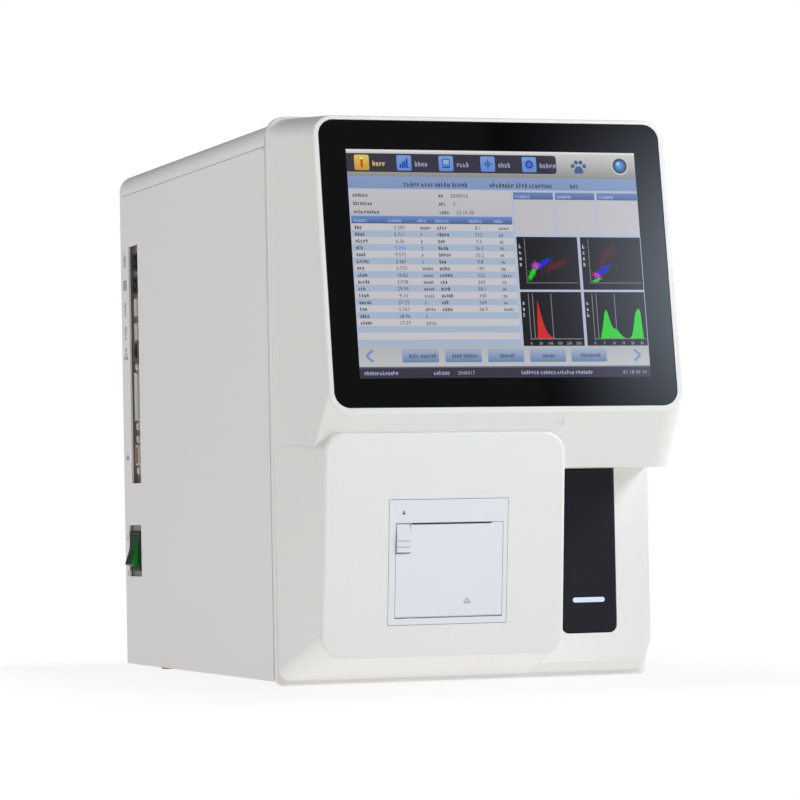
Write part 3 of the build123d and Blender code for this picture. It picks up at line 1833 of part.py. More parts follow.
builders = [
    front_moulding,
    screen_glass,
    display_module,
    display_bracket,
    printer_housing,
    printer_flap,
    printer_hinge_pin,
    printer_lever,
    lever_pin,
    tear_bar,
    platen_roller,
    print_head,
    paper_roll,
    sample_door,
    status_light_bar,
    door_hinge_pin,
    tube_holder,
    bay_liner,
    probe_tower,
    probe_rail,
    probe_carriage,
    sample_probe,
    probe_motor,
    base_pan,
    left_side_panel,
    right_side_panel,
    top_cover,
    rear_panel,
    feet,
    panel_screws,
    connector_tray,
    round_ports,
    usb_ports,
    network_port,
    parallel_port,
    serial_port,
    port_screws,
    switch_plate,
    switch_housing,
    switch_rocker,
    mains_inlet,
    ground_terminal,
    hose_ports,
    fan_frame,
    fan_rotor,
    fan_grille,
    divider_plate,
    main_board,
    board_chips,
    board_standoffs,
    power_supply,
    valve_manifold,
    solenoid_valves,
    reaction_chambers,
    optical_bench,
    syringe_frame,
    syringe_barrel,
    syringe_plunger,
    vacuum_pump,
    waste_chamber,
]


def footprint_shift(parts):
    """The move that puts the origin under the middle of the whole analyzer, at the level of its feet."""
    boxes = [part.bounding_box() for part in parts.values()]
    middle_x = (min(b.min.X for b in boxes) + max(b.max.X for b in boxes)) / 2
    middle_y = (min(b.min.Y for b in boxes) + max(b.max.Y for b in boxes)) / 2
    return -middle_x, -middle_y, -min(b.min.Z for b in boxes)


def report(shift):
    """Prints the joint axes and the other points that a user of the model needs, in the final frame."""
    def moved(point):
        return tuple(round(a + b, 3) for a, b in zip(point, shift))

    def on_printer(y, z):
        return moved(tuple(printer_plane.from_local_coords(Vector(0, y, z))))

    print("shift", tuple(round(v, 4) for v in shift))
    print("sample door hinge", moved((door_middle, hinge_y, hinge_z)))
    print("paper door hinge", on_printer(hinge_drop, -flap_barrel))
    print("lever pivot", on_printer(lever_pin_y, -lever_pivot))
    print("platen", on_printer(platen_y, platen_z))
    print("paper roll", on_printer(roll_y, roll_z))
    print("rocker pivot", moved((pivot_x, pivot_y, pivot_z)))
    print("fan", moved((fan_x, rear_inner, fan_z)))
    print(
        "ports", serial_height, parallel_height,
        network_height, usb_heights, keyboard_height, mouse_height
    )


def main():
    """Builds every piece, moves the analyzer onto its origin and writes one file for each piece."""
    os.makedirs("parts", exist_ok=True)
    parts = {builder.__name__: builder() for builder in builders}
    shift = footprint_shift(parts)
    for name, part in parts.items():
        export_step(Pos(*shift) * part, os.path.join("parts", name + ".step"))
    report(shift)


if __name__ == "__main__":
    main()
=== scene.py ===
"""The looks of a bench blood analyzer: finishes, the lit picture on its screen, small marks, the studio."""

from __future__ import annotations

import logging
import math
import random
from collections.abc import Callable, Iterable
from dataclasses import dataclass, field
from enum import Enum

import bmesh
import bpy
from mathutils import Matrix, Vector

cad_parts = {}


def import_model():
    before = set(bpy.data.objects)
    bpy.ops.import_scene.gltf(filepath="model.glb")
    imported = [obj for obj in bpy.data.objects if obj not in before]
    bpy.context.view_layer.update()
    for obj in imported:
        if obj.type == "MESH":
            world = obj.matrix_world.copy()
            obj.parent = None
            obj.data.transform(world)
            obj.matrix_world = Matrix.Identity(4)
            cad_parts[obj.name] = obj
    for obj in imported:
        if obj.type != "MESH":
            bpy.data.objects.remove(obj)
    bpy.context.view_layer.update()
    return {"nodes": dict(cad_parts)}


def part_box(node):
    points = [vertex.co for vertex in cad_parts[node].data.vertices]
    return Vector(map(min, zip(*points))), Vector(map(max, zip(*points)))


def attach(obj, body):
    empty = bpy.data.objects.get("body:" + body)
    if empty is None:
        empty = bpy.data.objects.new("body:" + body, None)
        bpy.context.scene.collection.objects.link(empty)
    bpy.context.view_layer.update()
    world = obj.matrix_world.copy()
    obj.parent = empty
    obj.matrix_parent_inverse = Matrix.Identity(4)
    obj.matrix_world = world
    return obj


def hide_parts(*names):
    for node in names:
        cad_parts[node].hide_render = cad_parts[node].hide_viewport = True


LOG = logging.getLogger("analyzer")
MM = 0.001
Colour = tuple[float, float, float]
Tint = Colour | tuple[Colour, Colour]
Point = tuple[float, float]
WHITE = (1.0, 1.0, 1.0, 1.0)


def ink(red: int, green: int, blue: int) -> Colour:
    """Turns a display colour into the linear colour that the shaders use.

    Args:
        red: Red from 0 to 255.
        green: Green from 0 to 255.
        blue: Blue from 0 to 255.

    Returns:
        The linear red, green and blue.
    """
    linear = []
    for value in (red, green, blue):
        part = value / 255
        linear.append(part / 12.92 if part <= 0.04045 else ((part + 0.055) / 1.055) ** 2.4)
    return (linear[0], linear[1], linear[2])


@dataclass(frozen=True)
class Datum:
    """The point that the analyzer is drawn from: the foot of the glass, above the moulding's underside."""

    origin: Vector
    spigot_back: float = 111.5

    @classmethod
    def of_frame(cls) -> Datum:
        """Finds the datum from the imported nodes.

        Returns:
            The datum.
        """
        glass_low, glass_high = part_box("screen_glass")
        shell_low, shell_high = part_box("front_moulding")
        middle = (glass_low.x + glass_high.x) / 2
        return cls(Vector((middle, shell_high.y - cls.spigot_back * MM, shell_low.z)))

    def at(self, x: float, y: float, z: float) -> Vector:
        """The place of a point given in mm from the datum."""
        return self.origin + Vector((x, y, z)) * MM


@dataclass(frozen=True)
class Face:
    """A flat face of the analyzer with its own right and up."""

    origin: Vector
    right: Vector
    up: Vector

    def matrix(self) -> Matrix:
        """Moves a shape drawn in mm on the face to its place in the row frame."""
        turn = Matrix((self.right, self.up, self.right.cross(self.up))).transposed().to_4x4()
        return Matrix.Translation(self.origin) @ turn @ Matrix.Scale(MM, 4)


class Align(Enum):
    """Where a number's anchor lies."""

    LEFT = "LEFT"
    CENTRE = "CENTER"
    RIGHT = "RIGHT"


class BandAxis(Enum):
    """The axis that a finish's bands follow one another along, as the turn that brings them there."""

    X = (0.0, 0.0, 0.0)
    Y = (0.0, 0.0, math.radians(-90))
    Z = (0.0, math.radians(90), 0.0)


class Socket(Enum):
    """The kinds of socket that the node groups have."""

    NUMBER = "NodeSocketFloat"
    VECTOR = "NodeSocketVector"
    COLOUR = "NodeSocketColor"

    @classmethod
    def of(cls, default: object) -> Socket:
        """The kind that fits a default, where nothing means a vector."""
        return cls.VECTOR if default is None else cls.NUMBER if isinstance(default, float) else cls.COLOUR


def place_mesh(name: str, mesh: bmesh.types.BMesh, material: bpy.types.Material) -> bpy.types.Object:
    """Writes a finished mesh as an object in the scene.

    Args:
        name: The object's name.
        mesh: The mesh, which is freed.
        material: Its material.

    Returns:
        The new object.
    """
    data = bpy.data.meshes.new(name)
    mesh.to_mesh(data)
    mesh.free()
    data.materials.append(material)
    made = bpy.data.objects.new(name, data)
    bpy.context.scene.collection.objects.link(made)
    LOG.info("%s: %d faces", name, len(data.polygons))
    return made


def faces_of(verts: Iterable[bmesh.types.BMVert]) -> list[bmesh.types.BMFace]:
    """The faces that some vertices carry, each once and in order."""
    return list(dict.fromkeys(face for vert in verts for face in vert.link_faces))


# Shader graphs


@dataclass
class Graph:
    """A node tree, with short ways to add nodes and to join them."""

    tree: bpy.types.NodeTree

    def give(self, target: bpy.types.NodeSocket, value: object) -> None:
        """Gives an input its link or its constant.

        Args:
            target: The input.
            value: An output to link, or a constant.
        """
        if isinstance(value, bpy.types.NodeSocket):
            self.tree.links.new(value, target)
        else:
            target.default_value = value

    def feed(self, node: bpy.types.Node, **inputs: object) -> None:
        """Gives a node's inputs their values, each by its name with underscores for spaces."""
        for name, value in inputs.items():
            self.give(node.inputs[name.replace("_", " ")], value)

    def node(self, kind: str, **values: object) -> bpy.types.Node:
        """Adds a node, sets its properties and feeds its inputs.

        Args:
            kind: The node's type name.
            **values: Its properties in small letters, and its inputs with a capital.

        Returns:
            The new node.
        """
        new = self.tree.nodes.new(kind)
        for name, value in values.items():
            if name[0].islower():
                setattr(new, name, value)
        self.feed(new, **{name: value for name, value in values.items() if name[0].isupper()})
        return new

    def maths(self, operation: str, *terms: object) -> bpy.types.NodeSocket:
        """Adds a Math node.

        Args:
            operation: The operation's name.
            *terms: Sockets or numbers.

        Returns:
            The node's output.
        """
        new = self.node("ShaderNodeMath", operation=operation)
        for target, term in zip(new.inputs, terms):
            self.give(target, term)
        return new.outputs[0]

    def blend(self, share: bpy.types.NodeSocket, first: object, second: object) -> bpy.types.NodeSocket:
        """Mixes two colours by a share of the second."""
        return self.node("ShaderNodeMix", data_type="RGBA", Factor=share, A=first, B=second).outputs["Result"]

    def mix_shaders(
        self, share: bpy.types.NodeSocket, first: bpy.types.NodeSocket, second: bpy.types.NodeSocket
    ) -> bpy.types.NodeSocket:
        """Mixes two shaders.

        Args:
            share: The share of the second.
            first: The first shader.
            second: The second shader.

        Returns:
            The mixed shader.
        """
        mixed = self.node("ShaderNodeMixShader", Fac=share)
        self.give(mixed.inputs[1], first)
        self.give(mixed.inputs[2], second)
        return mixed.outputs["Shader"]

    def ease(self, value: bpy.types.NodeSocket, ends: Point, shares: Point) -> bpy.types.NodeSocket:
        """Turns a value's way between two ends into a smooth change between two shares.

        Args:
            value: The value.
            ends: The value where the change starts and where it ends.
            shares: The share at its start and at its end.

        Returns:
            The share.
        """
        eased = self.node(
            "ShaderNodeMapRange", interpolation_type="SMOOTHSTEP", Value=value,
            From_Min=ends[0], From_Max=ends[1], To_Min=shares[0], To_Max=shares[1],
        )
        return eased.outputs["Result"]

    def place(self) -> bpy.types.NodeSocket:
        """The place on the piece."""
        return self.node("ShaderNodeTexCoord").outputs["Object"]

    def camera_ray(self) -> bpy.types.NodeSocket:
        """Whether the camera itself looks."""
        return self.node("ShaderNodeLightPath").outputs["Is Camera Ray"]

    def off_middle(self) -> list[bpy.types.NodeSocket]:
        """How far a place lies from the piece's middle along X and along Y."""
        parts = self.node("ShaderNodeSeparateXYZ", Vector=self.place())
        return [self.maths("ABSOLUTE", parts.outputs[axis]) for axis in ("X", "Y")]


def new_group(
    name: str, inputs: dict[str, object], outputs: dict[str, Socket]
) -> tuple[Graph, bpy.types.NodeOutputs, bpy.types.Node]:
    """Starts a shader node group with named sockets.

    Args:
        name: The group's name.
        inputs: Each input's default: nothing for a vector, a number or a colour.
        outputs: Each output's kind.

    Returns:
        The group's graph, the sockets that bring its inputs, and the node that takes its outputs.
    """
    graph = Graph(bpy.data.node_groups.new(name, "ShaderNodeTree"))
    for label, default in inputs.items():
        socket = graph.tree.interface.new_socket(label, in_out="INPUT", socket_type=Socket.of(default).value)
        if default is not None:
            socket.default_value = default
    for label, kind in outputs.items():
        graph.tree.interface.new_socket(label, in_out="OUTPUT", socket_type=kind.value)
    return graph, graph.node("NodeGroupInput").outputs, graph.node("NodeGroupOutput")


def grain_group() -> bpy.types.NodeTree:
    """Builds the fine grain of a moulded or powder-coated surface.

    Returns:
        A group that turns a size and a depth into a normal.
    """
    graph, given, result = new_group(
        "surface_grain", {"Vector": None, "Size": 900.0, "Depth": 0.1}, {"Normal": Socket.VECTOR}
    )
    fine = graph.node(
        "ShaderNodeTexNoise", Vector=given["Vector"], Scale=given["Size"], Detail=3.0, Roughness=0.65
    )
    bump = graph.node("ShaderNodeBump", Strength=given["Depth"], Distance=0.0004, Height=fine.outputs["Fac"])
    graph.feed(result, Normal=bump.outputs["Normal"])
    return graph.tree


def tone_group() -> bpy.types.NodeTree:
    """Builds a slow change of tone and gloss, as handling and moulding leave.

    Returns:
        A group that turns two colours into a varied one and gives a roughness.
    """
    graph, given, result = new_group(
        "tone_drift",
        {
            "Vector": None,
            "Colour": (0.8, 0.8, 0.8, 1.0),
            "Worn Colour": (0.7, 0.7, 0.7, 1.0),
            "Scale": 9.0,
            "Roughness Low": 0.35,
            "Roughness High": 0.5,
        },
        {"Colour": Socket.COLOUR, "Roughness": Socket.NUMBER},
    )
    drift = graph.node(
        "ShaderNodeTexNoise", Vector=given["Vector"], Scale=given["Scale"], Detail=4.0, Distortion=0.4
    ).outputs["Fac"]
    gloss = graph.node(
        "ShaderNodeMapRange", Value=drift, To_Min=given["Roughness Low"], To_Max=given["Roughness High"]
    )
    colour = graph.blend(drift, given["Colour"], given["Worn Colour"])
    graph.feed(result, Colour=colour, Roughness=gloss.outputs["Result"])
    return graph.tree


def band_group() -> bpy.types.NodeTree:
    """Builds fine parallel bands, as brushing, turning or ribs leave.

    Returns:
        A group that gives a normal.
    """
    graph, given, result = new_group(
        "fine_bands",
        {"Vector": None, "Scale": 60.0, "Waver": 0.0, "Depth": 0.3, "Height": 0.0002},
        {"Normal": Socket.VECTOR},
    )
    wave = graph.node(
        "ShaderNodeTexWave", wave_type="BANDS", bands_direction="X", wave_profile="SIN",
        Vector=given["Vector"], Scale=given["Scale"], Distortion=given["Waver"], Detail=2.0,
    )
    bump = graph.node(
        "ShaderNodeBump", Strength=given["Depth"], Distance=given["Height"], Height=wave.outputs["Fac"]
    )
    graph.feed(result, Normal=bump.outputs["Normal"])
    return graph.tree


@dataclass
class Effects:
    """The shader node groups that the finishes share."""

    grain: bpy.types.NodeTree = field(default_factory=grain_group)
    tone: bpy.types.NodeTree = field(default_factory=tone_group)
    bands: bpy.types.NodeTree = field(default_factory=band_group)


def new_material(name: str) -> tuple[bpy.types.Material, Graph, bpy.types.Node]:
    """Starts a material.

    Args:
        name: Its name.

    Returns:
        The material, its graph and its Principled shader.
    """
    made = bpy.data.materials.new(name)
    made.use_nodes = True
    return made, Graph(made.node_tree), made.node_tree.nodes["Principled BSDF"]


@dataclass(frozen=True)
class Finish:
    """A finish that covers a whole piece: a tone that drifts, a gloss, and a fine grain or bands."""

    name: str
    colour: Colour
    worn: Colour
    rough: tuple[float, float]
    grain: float = 1400.0
    depth: float = 0.05
    metallic: float = 0.0
    drift: float = 7.0
    specular: float = 0.5
    subsurface: float = 0.0
    subsurface_reach: float = 0.002
    bands: float = 0.0
    band_axis: BandAxis = BandAxis.Z
    band_depth: float = 0.2
    band_height: float = 0.0002
    band_waver: float = 1.5
    transmission: float = 0.0
    glow: float = 0.0
    # ends: a brighter colour painted on the faces that look along Y, painted light where light falls strongly
    # on them
    ends: Colour | None = None

    def paint_light_on_ends(self, graph: Graph, colour: bpy.types.NodeSocket) -> bpy.types.NodeSocket:
        """Paints light on the faces that look along Y, where the finish has such a colour: a brighter colour
        that stands in for the strong light on them.

        Args:
            graph: The material's graph.
            colour: The colour of the other faces.

        Returns:
            The joined colour.
        """
        if self.ends is None:
            return colour
        outwards = graph.node("ShaderNodeTexCoord").outputs["Normal"]
        along = graph.node("ShaderNodeSeparateXYZ", Vector=outwards).outputs["Y"]
        share = graph.maths("GREATER_THAN", graph.maths("ABSOLUTE", along), 0.7)
        return graph.blend(share, colour, (*self.ends, 1.0))

    def relief(self, graph: Graph, effects: Effects, place: bpy.types.NodeSocket) -> bpy.types.NodeSocket:
        """Gives the surface its bands, or its grain where it has none.

        Args:
            graph: The material's graph.
            effects: The shared node groups.
            place: The place on the piece.

        Returns:
            The normal.
        """
        if not self.bands:
            grain = graph.node(
                "ShaderNodeGroup", node_tree=effects.grain, Vector=place, Size=self.grain, Depth=self.depth
            )
            return grain.outputs["Normal"]
        turned = graph.node("ShaderNodeMapping", Vector=place, Rotation=self.band_axis.value)
        ribs = graph.node(
            "ShaderNodeGroup", node_tree=effects.bands, Vector=turned.outputs["Vector"], Scale=self.bands,
            Waver=self.band_waver, Depth=self.band_depth, Height=self.band_height,
        )
        return ribs.outputs["Normal"]

    def material(self, effects: Effects) -> bpy.types.Material:
        """Makes the material.

        Args:
            effects: The shared node groups.

        Returns:
            The new material.
        """
        made, graph, shader = new_material(self.name)
        place = graph.place()
        tone = graph.node(
            "ShaderNodeGroup", node_tree=effects.tone, Vector=place, Scale=self.drift,
            Colour=(*self.colour, 1.0), Worn_Colour=(*self.worn, 1.0),
            Roughness_Low=self.rough[0], Roughness_High=self.rough[1],
        ).outputs
        graph.feed(
            shader, Base_Color=self.paint_light_on_ends(graph, tone["Colour"]), Roughness=tone["Roughness"],
            Metallic=self.metallic, Specular_IOR_Level=self.specular, Transmission_Weight=self.transmission,
            Normal=self.relief(graph, effects, place),
        )
        if self.subsurface:
            graph.feed(shader, Subsurface_Weight=self.subsurface, Subsurface_Scale=self.subsurface_reach)
        if self.glow:
            graph.feed(shader, Emission_Color=tone["Colour"], Emission_Strength=self.glow)
        return made


@dataclass(frozen=True)
class InkFinish:
    """A thin layer of ink or light whose colours are written on the mesh."""

    name: str
    glow: float
    rough: float
    unlit: Colour = (0.004, 0.004, 0.005)

    def material(self) -> bpy.types.Material:
        """Makes the material, which reads the mesh's own ink attribute.

        Returns:
            The new material.
        """
        made, graph, shader = new_material(self.name)
        colour = graph.node("ShaderNodeAttribute", attribute_name="ink").outputs["Color"]
        graph.feed(shader, Roughness=self.rough)
        if self.glow:
            graph.feed(
                shader, Base_Color=(*self.unlit, 1.0), Emission_Color=colour, Emission_Strength=self.glow
            )
        else:
            graph.feed(shader, Base_Color=colour)
        return made


# Flat printed and lit shapes


@dataclass
class InkSheet:
    """Flat shapes gathered on one face of the analyzer, in mm, and written into one mesh."""

    name: str
    face: Face
    step: float = 0.02
    ring_sides: int = 32
    mesh: bmesh.types.BMesh = field(default_factory=bmesh.new)

    def __post_init__(self) -> None:
        """Gives the mesh its ink attribute."""
        self.ink = self.mesh.loops.layers.float_color.new("ink")

    def paint(self, faces: list[bmesh.types.BMFace], tint: Tint) -> None:
        """Writes a plain colour, or a change from foot to top, on some faces.

        Args:
            faces: The faces.
            tint: A colour, or the colours at the foot and at the top.
        """
        low, high = tint if isinstance(tint[0], tuple) else (tint, tint)
        loops = [loop for face in faces for loop in face.loops]
        heights = [loop.vert.co.y for loop in loops]
        foot, tall = min(heights), max(heights) - min(heights)
        for loop, height in zip(loops, heights):
            share = (height - foot) / tall
            loop[self.ink] = (*(a + (b - a) * share for a, b in zip(low, high)), 1.0)

    def box(self, x: Point, y: Point, tint: Tint, layer: int = 1, radius: float = 0.0) -> None:
        """Adds a rectangle.

        Args:
            x: Its left and right ends in mm.
            y: Its lower and upper ends in mm.
            tint: Its colour, or the colours at its foot and at its top.
            layer: How many steps it lies above the face.
            radius: The radius of its corners in mm.
        """
        place = Matrix.Translation(((x[0] + x[1]) / 2, (y[0] + y[1]) / 2, layer * self.step))
        place = place @ Matrix.Diagonal(((x[1] - x[0]) / 2, (y[1] - y[0]) / 2, 1.0, 1.0))
        verts = bmesh.ops.create_grid(self.mesh, x_segments=1, y_segments=1, size=1.0, matrix=place)["verts"]
        if radius:
            verts = bmesh.ops.bevel(
                self.mesh, geom=verts, offset=radius, offset_type="OFFSET", segments=4, profile=0.5,
                affect="VERTICES", material=-1,
            )["verts"]
        self.paint(faces_of(verts), tint)

    def bar(
        self, at: Point, half: float, foot: float, top: float, tint: Tint, layer: int = 1, radius: float = 0.0
    ) -> None:
        """Adds a rectangle evenly about a point: half its width, then its foot and top from there."""
        self.box((at[0] - half, at[0] + half), (at[1] + foot, at[1] + top), tint, layer, radius)

    def shape(self, points: list[Point], tint: Tint, layer: int = 1) -> None:
        """Adds a flat shape given by its corners in mm, counter-clockwise."""
        corners = [self.mesh.verts.new((x, y, layer * self.step)) for x, y in points]
        self.paint([self.mesh.faces.new(corners)], tint)

    def circle(
        self, at: Point, radius: float, layer: int, sides: int, filled: bool
    ) -> list[bmesh.types.BMVert]:
        """Adds a circle.

        Args:
            at: Its middle in mm.
            radius: Its radius in mm.
            layer: How many steps it lies above the face.
            sides: How many sides it has.
            filled: Whether it has a face.

        Returns:
            Its vertices.
        """
        place = Matrix.Translation((*at, layer * self.step))
        return bmesh.ops.create_circle(
            self.mesh, cap_ends=filled, segments=sides, radius=radius, matrix=place
        )["verts"]

    def disc(self, at: Point, radius: float, colour: Colour, layer: int = 1, sides: int = 28) -> None:
        """Adds a disc."""
        self.paint(faces_of(self.circle(at, radius, layer, sides, True)), colour)

    def ring(self, at: Point, radius: float, width: float, colour: Colour, layer: int = 1) -> None:
        """Adds a ring.

        Args:
            at: Its middle in mm.
            radius: Its outer radius in mm.
            width: The width of its band in mm.
            colour: Its colour.
            layer: How many steps it lies above the face.
        """
        rims = [self.circle(at, size, layer, self.ring_sides, False) for size in (radius, radius - width)]
        edges = dict.fromkeys(edge for rim in rims for vert in rim for edge in vert.link_edges)
        band = bmesh.ops.bridge_loops(self.mesh, edges=list(edges))["faces"]
        for face in band:
            face.normal_update()
            if face.normal.z < 0:
                face.normal_flip()
        self.paint(band, colour)

    def line(self, start: Point, end: Point, width: float, colour: Colour, layer: int) -> None:
        """Adds a straight line.

        Args:
            start: Its start in mm.
            end: Its end in mm.
            width: Its width in mm.
            colour: Its colour.
            layer: How many steps it lies above the face.
        """
        a, b = Vector(start), Vector(end)
        side = Vector((a.y - b.y, b.x - a.x)).normalized() * width / 2
        self.shape([corner.to_tuple() for corner in (a - side, b - side, b + side, a + side)], colour, layer)

    def number(
        self, text: str, at: Point, size: float, colour: Colour, align: Align = Align.CENTRE, layer: int = 3
    ) -> None:
        """Adds a plain number.

        Args:
            text: The digits.
            at: Its anchor, on the digits' foot, in mm.
            size: The text size in mm.
            colour: Its colour.
            align: Where the anchor lies.
            layer: How many steps it lies above the face.
        """
        curve = bpy.data.curves.new("digits", "FONT")
        curve.body = text
        curve.size = size
        curve.resolution_u = 2
        curve.align_x = align.value
        holder = bpy.data.objects.new("digits", curve)
        flat = bpy.data.meshes.new_from_object(holder)
        known = len(self.mesh.faces)
        self.mesh.from_mesh(flat)
        self.mesh.faces.ensure_lookup_table()
        faces = self.mesh.faces[known:]
        shift = Vector((*at, layer * self.step))
        bmesh.ops.translate(self.mesh, verts=list({v for f in faces for v in f.verts}), vec=shift)
        self.paint(list(faces), colour)
        bpy.data.objects.remove(holder)
        bpy.data.curves.remove(curve)
        bpy.data.meshes.remove(flat)

    def dashes(self, at: Point, height: float, letters: int, colour: Colour, layer: int) -> float:
        """Adds a row of small upright strokes with bars across, which stands for a word and spells none.

        Args:
            at: Its lower left end in mm.
            height: Its height in mm.
            letters: How many upright strokes with their bars.
            colour: Their colour.
            layer: How many steps they lie above the face.

        Returns:
            The x of its right end.
        """
        chooser = random.Random(letters * 131 + int(at[0] * 7) + int(at[1] * 3))
        x, pen = at[0], height * 0.16
        for _ in range(letters):
            wide = height * chooser.choice((0.4, 0.46, 0.52))
            tall = height * chooser.choice((0.72, 0.72, 1.0))
            end = x + wide
            self.box((x, x + pen), (at[1], at[1] + tall), colour, layer)
            if chooser.random() < 0.55:
                self.box((end - pen, end), (at[1], at[1] + height * 0.72), colour, layer)
                end -= pen
            for level in chooser.sample((0.0, 0.28, 0.56), 2):
                foot = at[1] + height * level
                self.box((x + pen, end), (foot, foot + pen), colour, layer)
            x += wide + height * 0.2
        return x

    def finish(self, material: bpy.types.Material, body: str, slot: str) -> bpy.types.Object:
        """Writes the sheet as an object that rides on a body.

        Args:
            material: Its material.
            body: The CAD body that it rides on.
            slot: The record's material slot; not used.

        Returns:
            The finished object.
        """
        bmesh.ops.transform(self.mesh, matrix=self.face.matrix(), verts=self.mesh.verts[:])
        made = place_mesh(self.name, self.mesh, material)
        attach(made, body)
        return made


# The screen's picture


@dataclass(frozen=True)
class Plot:
    """A plot's field in mm: its left end, its foot, its width and its height, and its axes' shares."""

    left: float
    foot: float
    wide: float
    tall: float
    zero: float = 0.13
    end: float = 0.97

    def at(self, x: float, y: float) -> Point:
        """The place of a point given in shares of the field."""
        return (self.left + self.wide * x, self.foot + self.tall * y)


@dataclass(frozen=True)
class Cloud:
    """A cloud of dots: its middle and spread as shares of a plot, its dots, their colour and its slant."""

    middle: Point
    spread: Point
    dots: int
    colour: Colour
    slant: float = 0.75


def one_peak(share: float) -> float:
    """The height of a curve with one steep peak."""
    fall = ((0.165 - share) / 0.022) ** 2 if share < 0.165 else ((share - 0.165) / 0.1) ** 1.25
    return 0.72 * math.exp(-fall) if share > 0.115 else 0.0


def two_humps(share: float) -> float:
    """The height of a curve with two humps.

    Args:
        share: The place along the curve.

    Returns:
        The height as a share of the plot.
    """
    hump = 0.52 * math.exp(-(((share - 0.25) / 0.085) ** 2))
    shoulder = 0.17 * math.exp(-(((share - 0.42) / 0.11) ** 2))
    rise = 0.56 / (1 + math.exp(-(share - 0.79) * 38))
    return (hump + shoulder + rise) * (share > 0.12) * min(1.0, max(0.0, (0.965 - share) * 28))


@dataclass
class ScreenPicture:
    """The lit picture on the display: tabs, a table of results, flags, plots and buttons."""

    datum: Datum
    tilt: float = 8.07
    glass_foot: float = 189.1
    lcd_foot: float = 20.05
    width: float = 211.2
    height: float = 158.4
    recess: float = 0.4
    row_count: int = 18
    table_sides: Point = (0.4, 55.4)
    table_top: float = 32.6
    table_foot: float = 86.2
    plot_sides: tuple[Point, Point] = ((56.4, 77.6), (78.6, 99.8))
    tab_lefts: tuple[float, ...] = (2.6, 17.0, 31.4, 45.8, 60.2)
    curve_steps: int = 60
    night: Colour = ink(16, 16, 18)
    bar_blue: Colour = ink(56, 52, 66)
    icon_blue: Colour = ink(24, 56, 170)
    icon_pale: Colour = ink(140, 172, 222)
    label_grey: Colour = ink(196, 196, 196)

    def __post_init__(self) -> None:
        """Lays the sheet, from the lower left corner of the lit picture."""
        turn = math.radians(self.tilt)
        right, up = Vector((1.0, 0.0, 0.0)), Vector((0.0, math.sin(turn), math.cos(turn)))
        foot = self.datum.at(-self.width / 2, 0.0, self.glass_foot)
        corner = foot + up * self.lcd_foot * MM - right.cross(up) * self.recess * MM
        self.sheet = InkSheet("screen_picture", Face(corner, right, up))

    def u(self, share: float) -> float:
        """The place across the picture of a share from 0 to 100."""
        return self.width * share / 100

    def v(self, share: float) -> float:
        """The height of a share from 0 to 100, counted down from the top."""
        return self.height * (1 - share / 100)

    def area(self, x: Point, y: Point, tint: Tint, layer: int = 2, radius: float = 0.0) -> None:
        """Adds a rectangle given in shares of the picture, counted from its top left."""
        self.sheet.box((self.u(x[0]), self.u(x[1])), (self.v(y[1]), self.v(y[0])), tint, layer, radius)

    def words(
        self, x: float, y: float, height: float, counts: tuple[int, ...], colour: Colour,
        layer: int = 3, gap: float = 1.2,
    ) -> None:
        """Adds rows of strokes that stand for words.

        Args:
            x: The left end of the first, in mm.
            y: Their foot, as a share.
            height: Their height in mm.
            counts: How many strokes each has.
            colour: Their colour.
            layer: How many steps they lie above the face.
            gap: The room after each, in mm.
        """
        for count in counts:
            x = self.sheet.dashes((x, self.v(y)), height, count, colour, layer) + gap

    def build(self) -> bpy.types.Object:
        """Draws the whole picture.

        Returns:
            The picture's object.
        """
        self.area((0, 100), (0, 100), ink(178, 186, 210), 1)
        self.header()
        self.paw((self.u(80.0), self.v(6.6)))
        self.knob((self.u(94.6), self.v(5.9)))
        self.details()
        self.table()
        green, magenta, blue = ink(34, 210, 40), ink(200, 50, 190), ink(36, 40, 220)
        red, dull_red = ink(128, 26, 22), ink(96, 24, 22)
        haze = Cloud((0.55, 0.35), (0.2, 0.18), 60, dull_red)
        left_clouds = (
            Cloud((0.22, 0.3), (0.035, 0.06), 260, green),
            Cloud((0.29, 0.46), (0.03, 0.05), 200, magenta, 0.0),
            Cloud((0.42, 0.5), (0.05, 0.05), 300, blue),
            Cloud((0.62, 0.46), (0.11, 0.07), 330, red),
            haze,
        )
        right_clouds = (
            Cloud((0.22, 0.17), (0.035, 0.025), 260, green),
            Cloud((0.24, 0.27), (0.03, 0.05), 200, magenta, 0.0),
            Cloud((0.35, 0.37), (0.05, 0.05), 300, blue),
            Cloud((0.42, 0.66), (0.09, 0.14), 330, red),
            haze,
        )
        for sides, clouds, seed in zip(self.plot_sides, (left_clouds, right_clouds), (11, 23)):
            self.scatter(sides, clouds, seed)
        curves = ((one_peak, ink(206, 34, 30), 50), (two_humps, ink(36, 204, 34), 5))
        for sides, (curve, tint, pitch) in zip(self.plot_sides, curves):
            self.peaks(sides, curve, tint, pitch)
        self.footer()
        return self.sheet.finish(InkFinish("lit_picture", 0.95, 0.12).material(), "cabinet", "screen_glass")

    def header(self) -> None:
        """Draws the tab bar with its icons."""
        self.area((0, 100), (0, 11.8), (ink(140, 140, 138), ink(205, 205, 203)))
        self.area((0, 100), (0, 0.9), ink(222, 222, 222), 3)
        self.area((0, 70), (1.7, 9.9), self.bar_blue, 3)
        self.area((60, 72.2), (1.7, 9.9), self.bar_blue, 3, 2.2)
        open_tab = ((ink(190, 150, 40), ink(226, 196, 92)), ink(220, 190, 110))
        other_tab = ((ink(98, 136, 205), ink(120, 156, 214)), ink(150, 160, 190))
        icons = (self.tube, self.bars, self.monitor, self.cross_hair, self.gear)
        for left, icon in zip(self.tab_lefts, icons):
            field_tint, word_tint = open_tab if icon == self.tube else other_tab
            self.area((left, left + 5.0), (2.4, 9.2), field_tint, 4, 1.2)
            self.words(self.u(left + 6.2), 7.3, 3.6, (5 if icon == self.gear else 4,), word_tint, 4)
            icon((self.u(left + 2.5), self.v(5.8)))

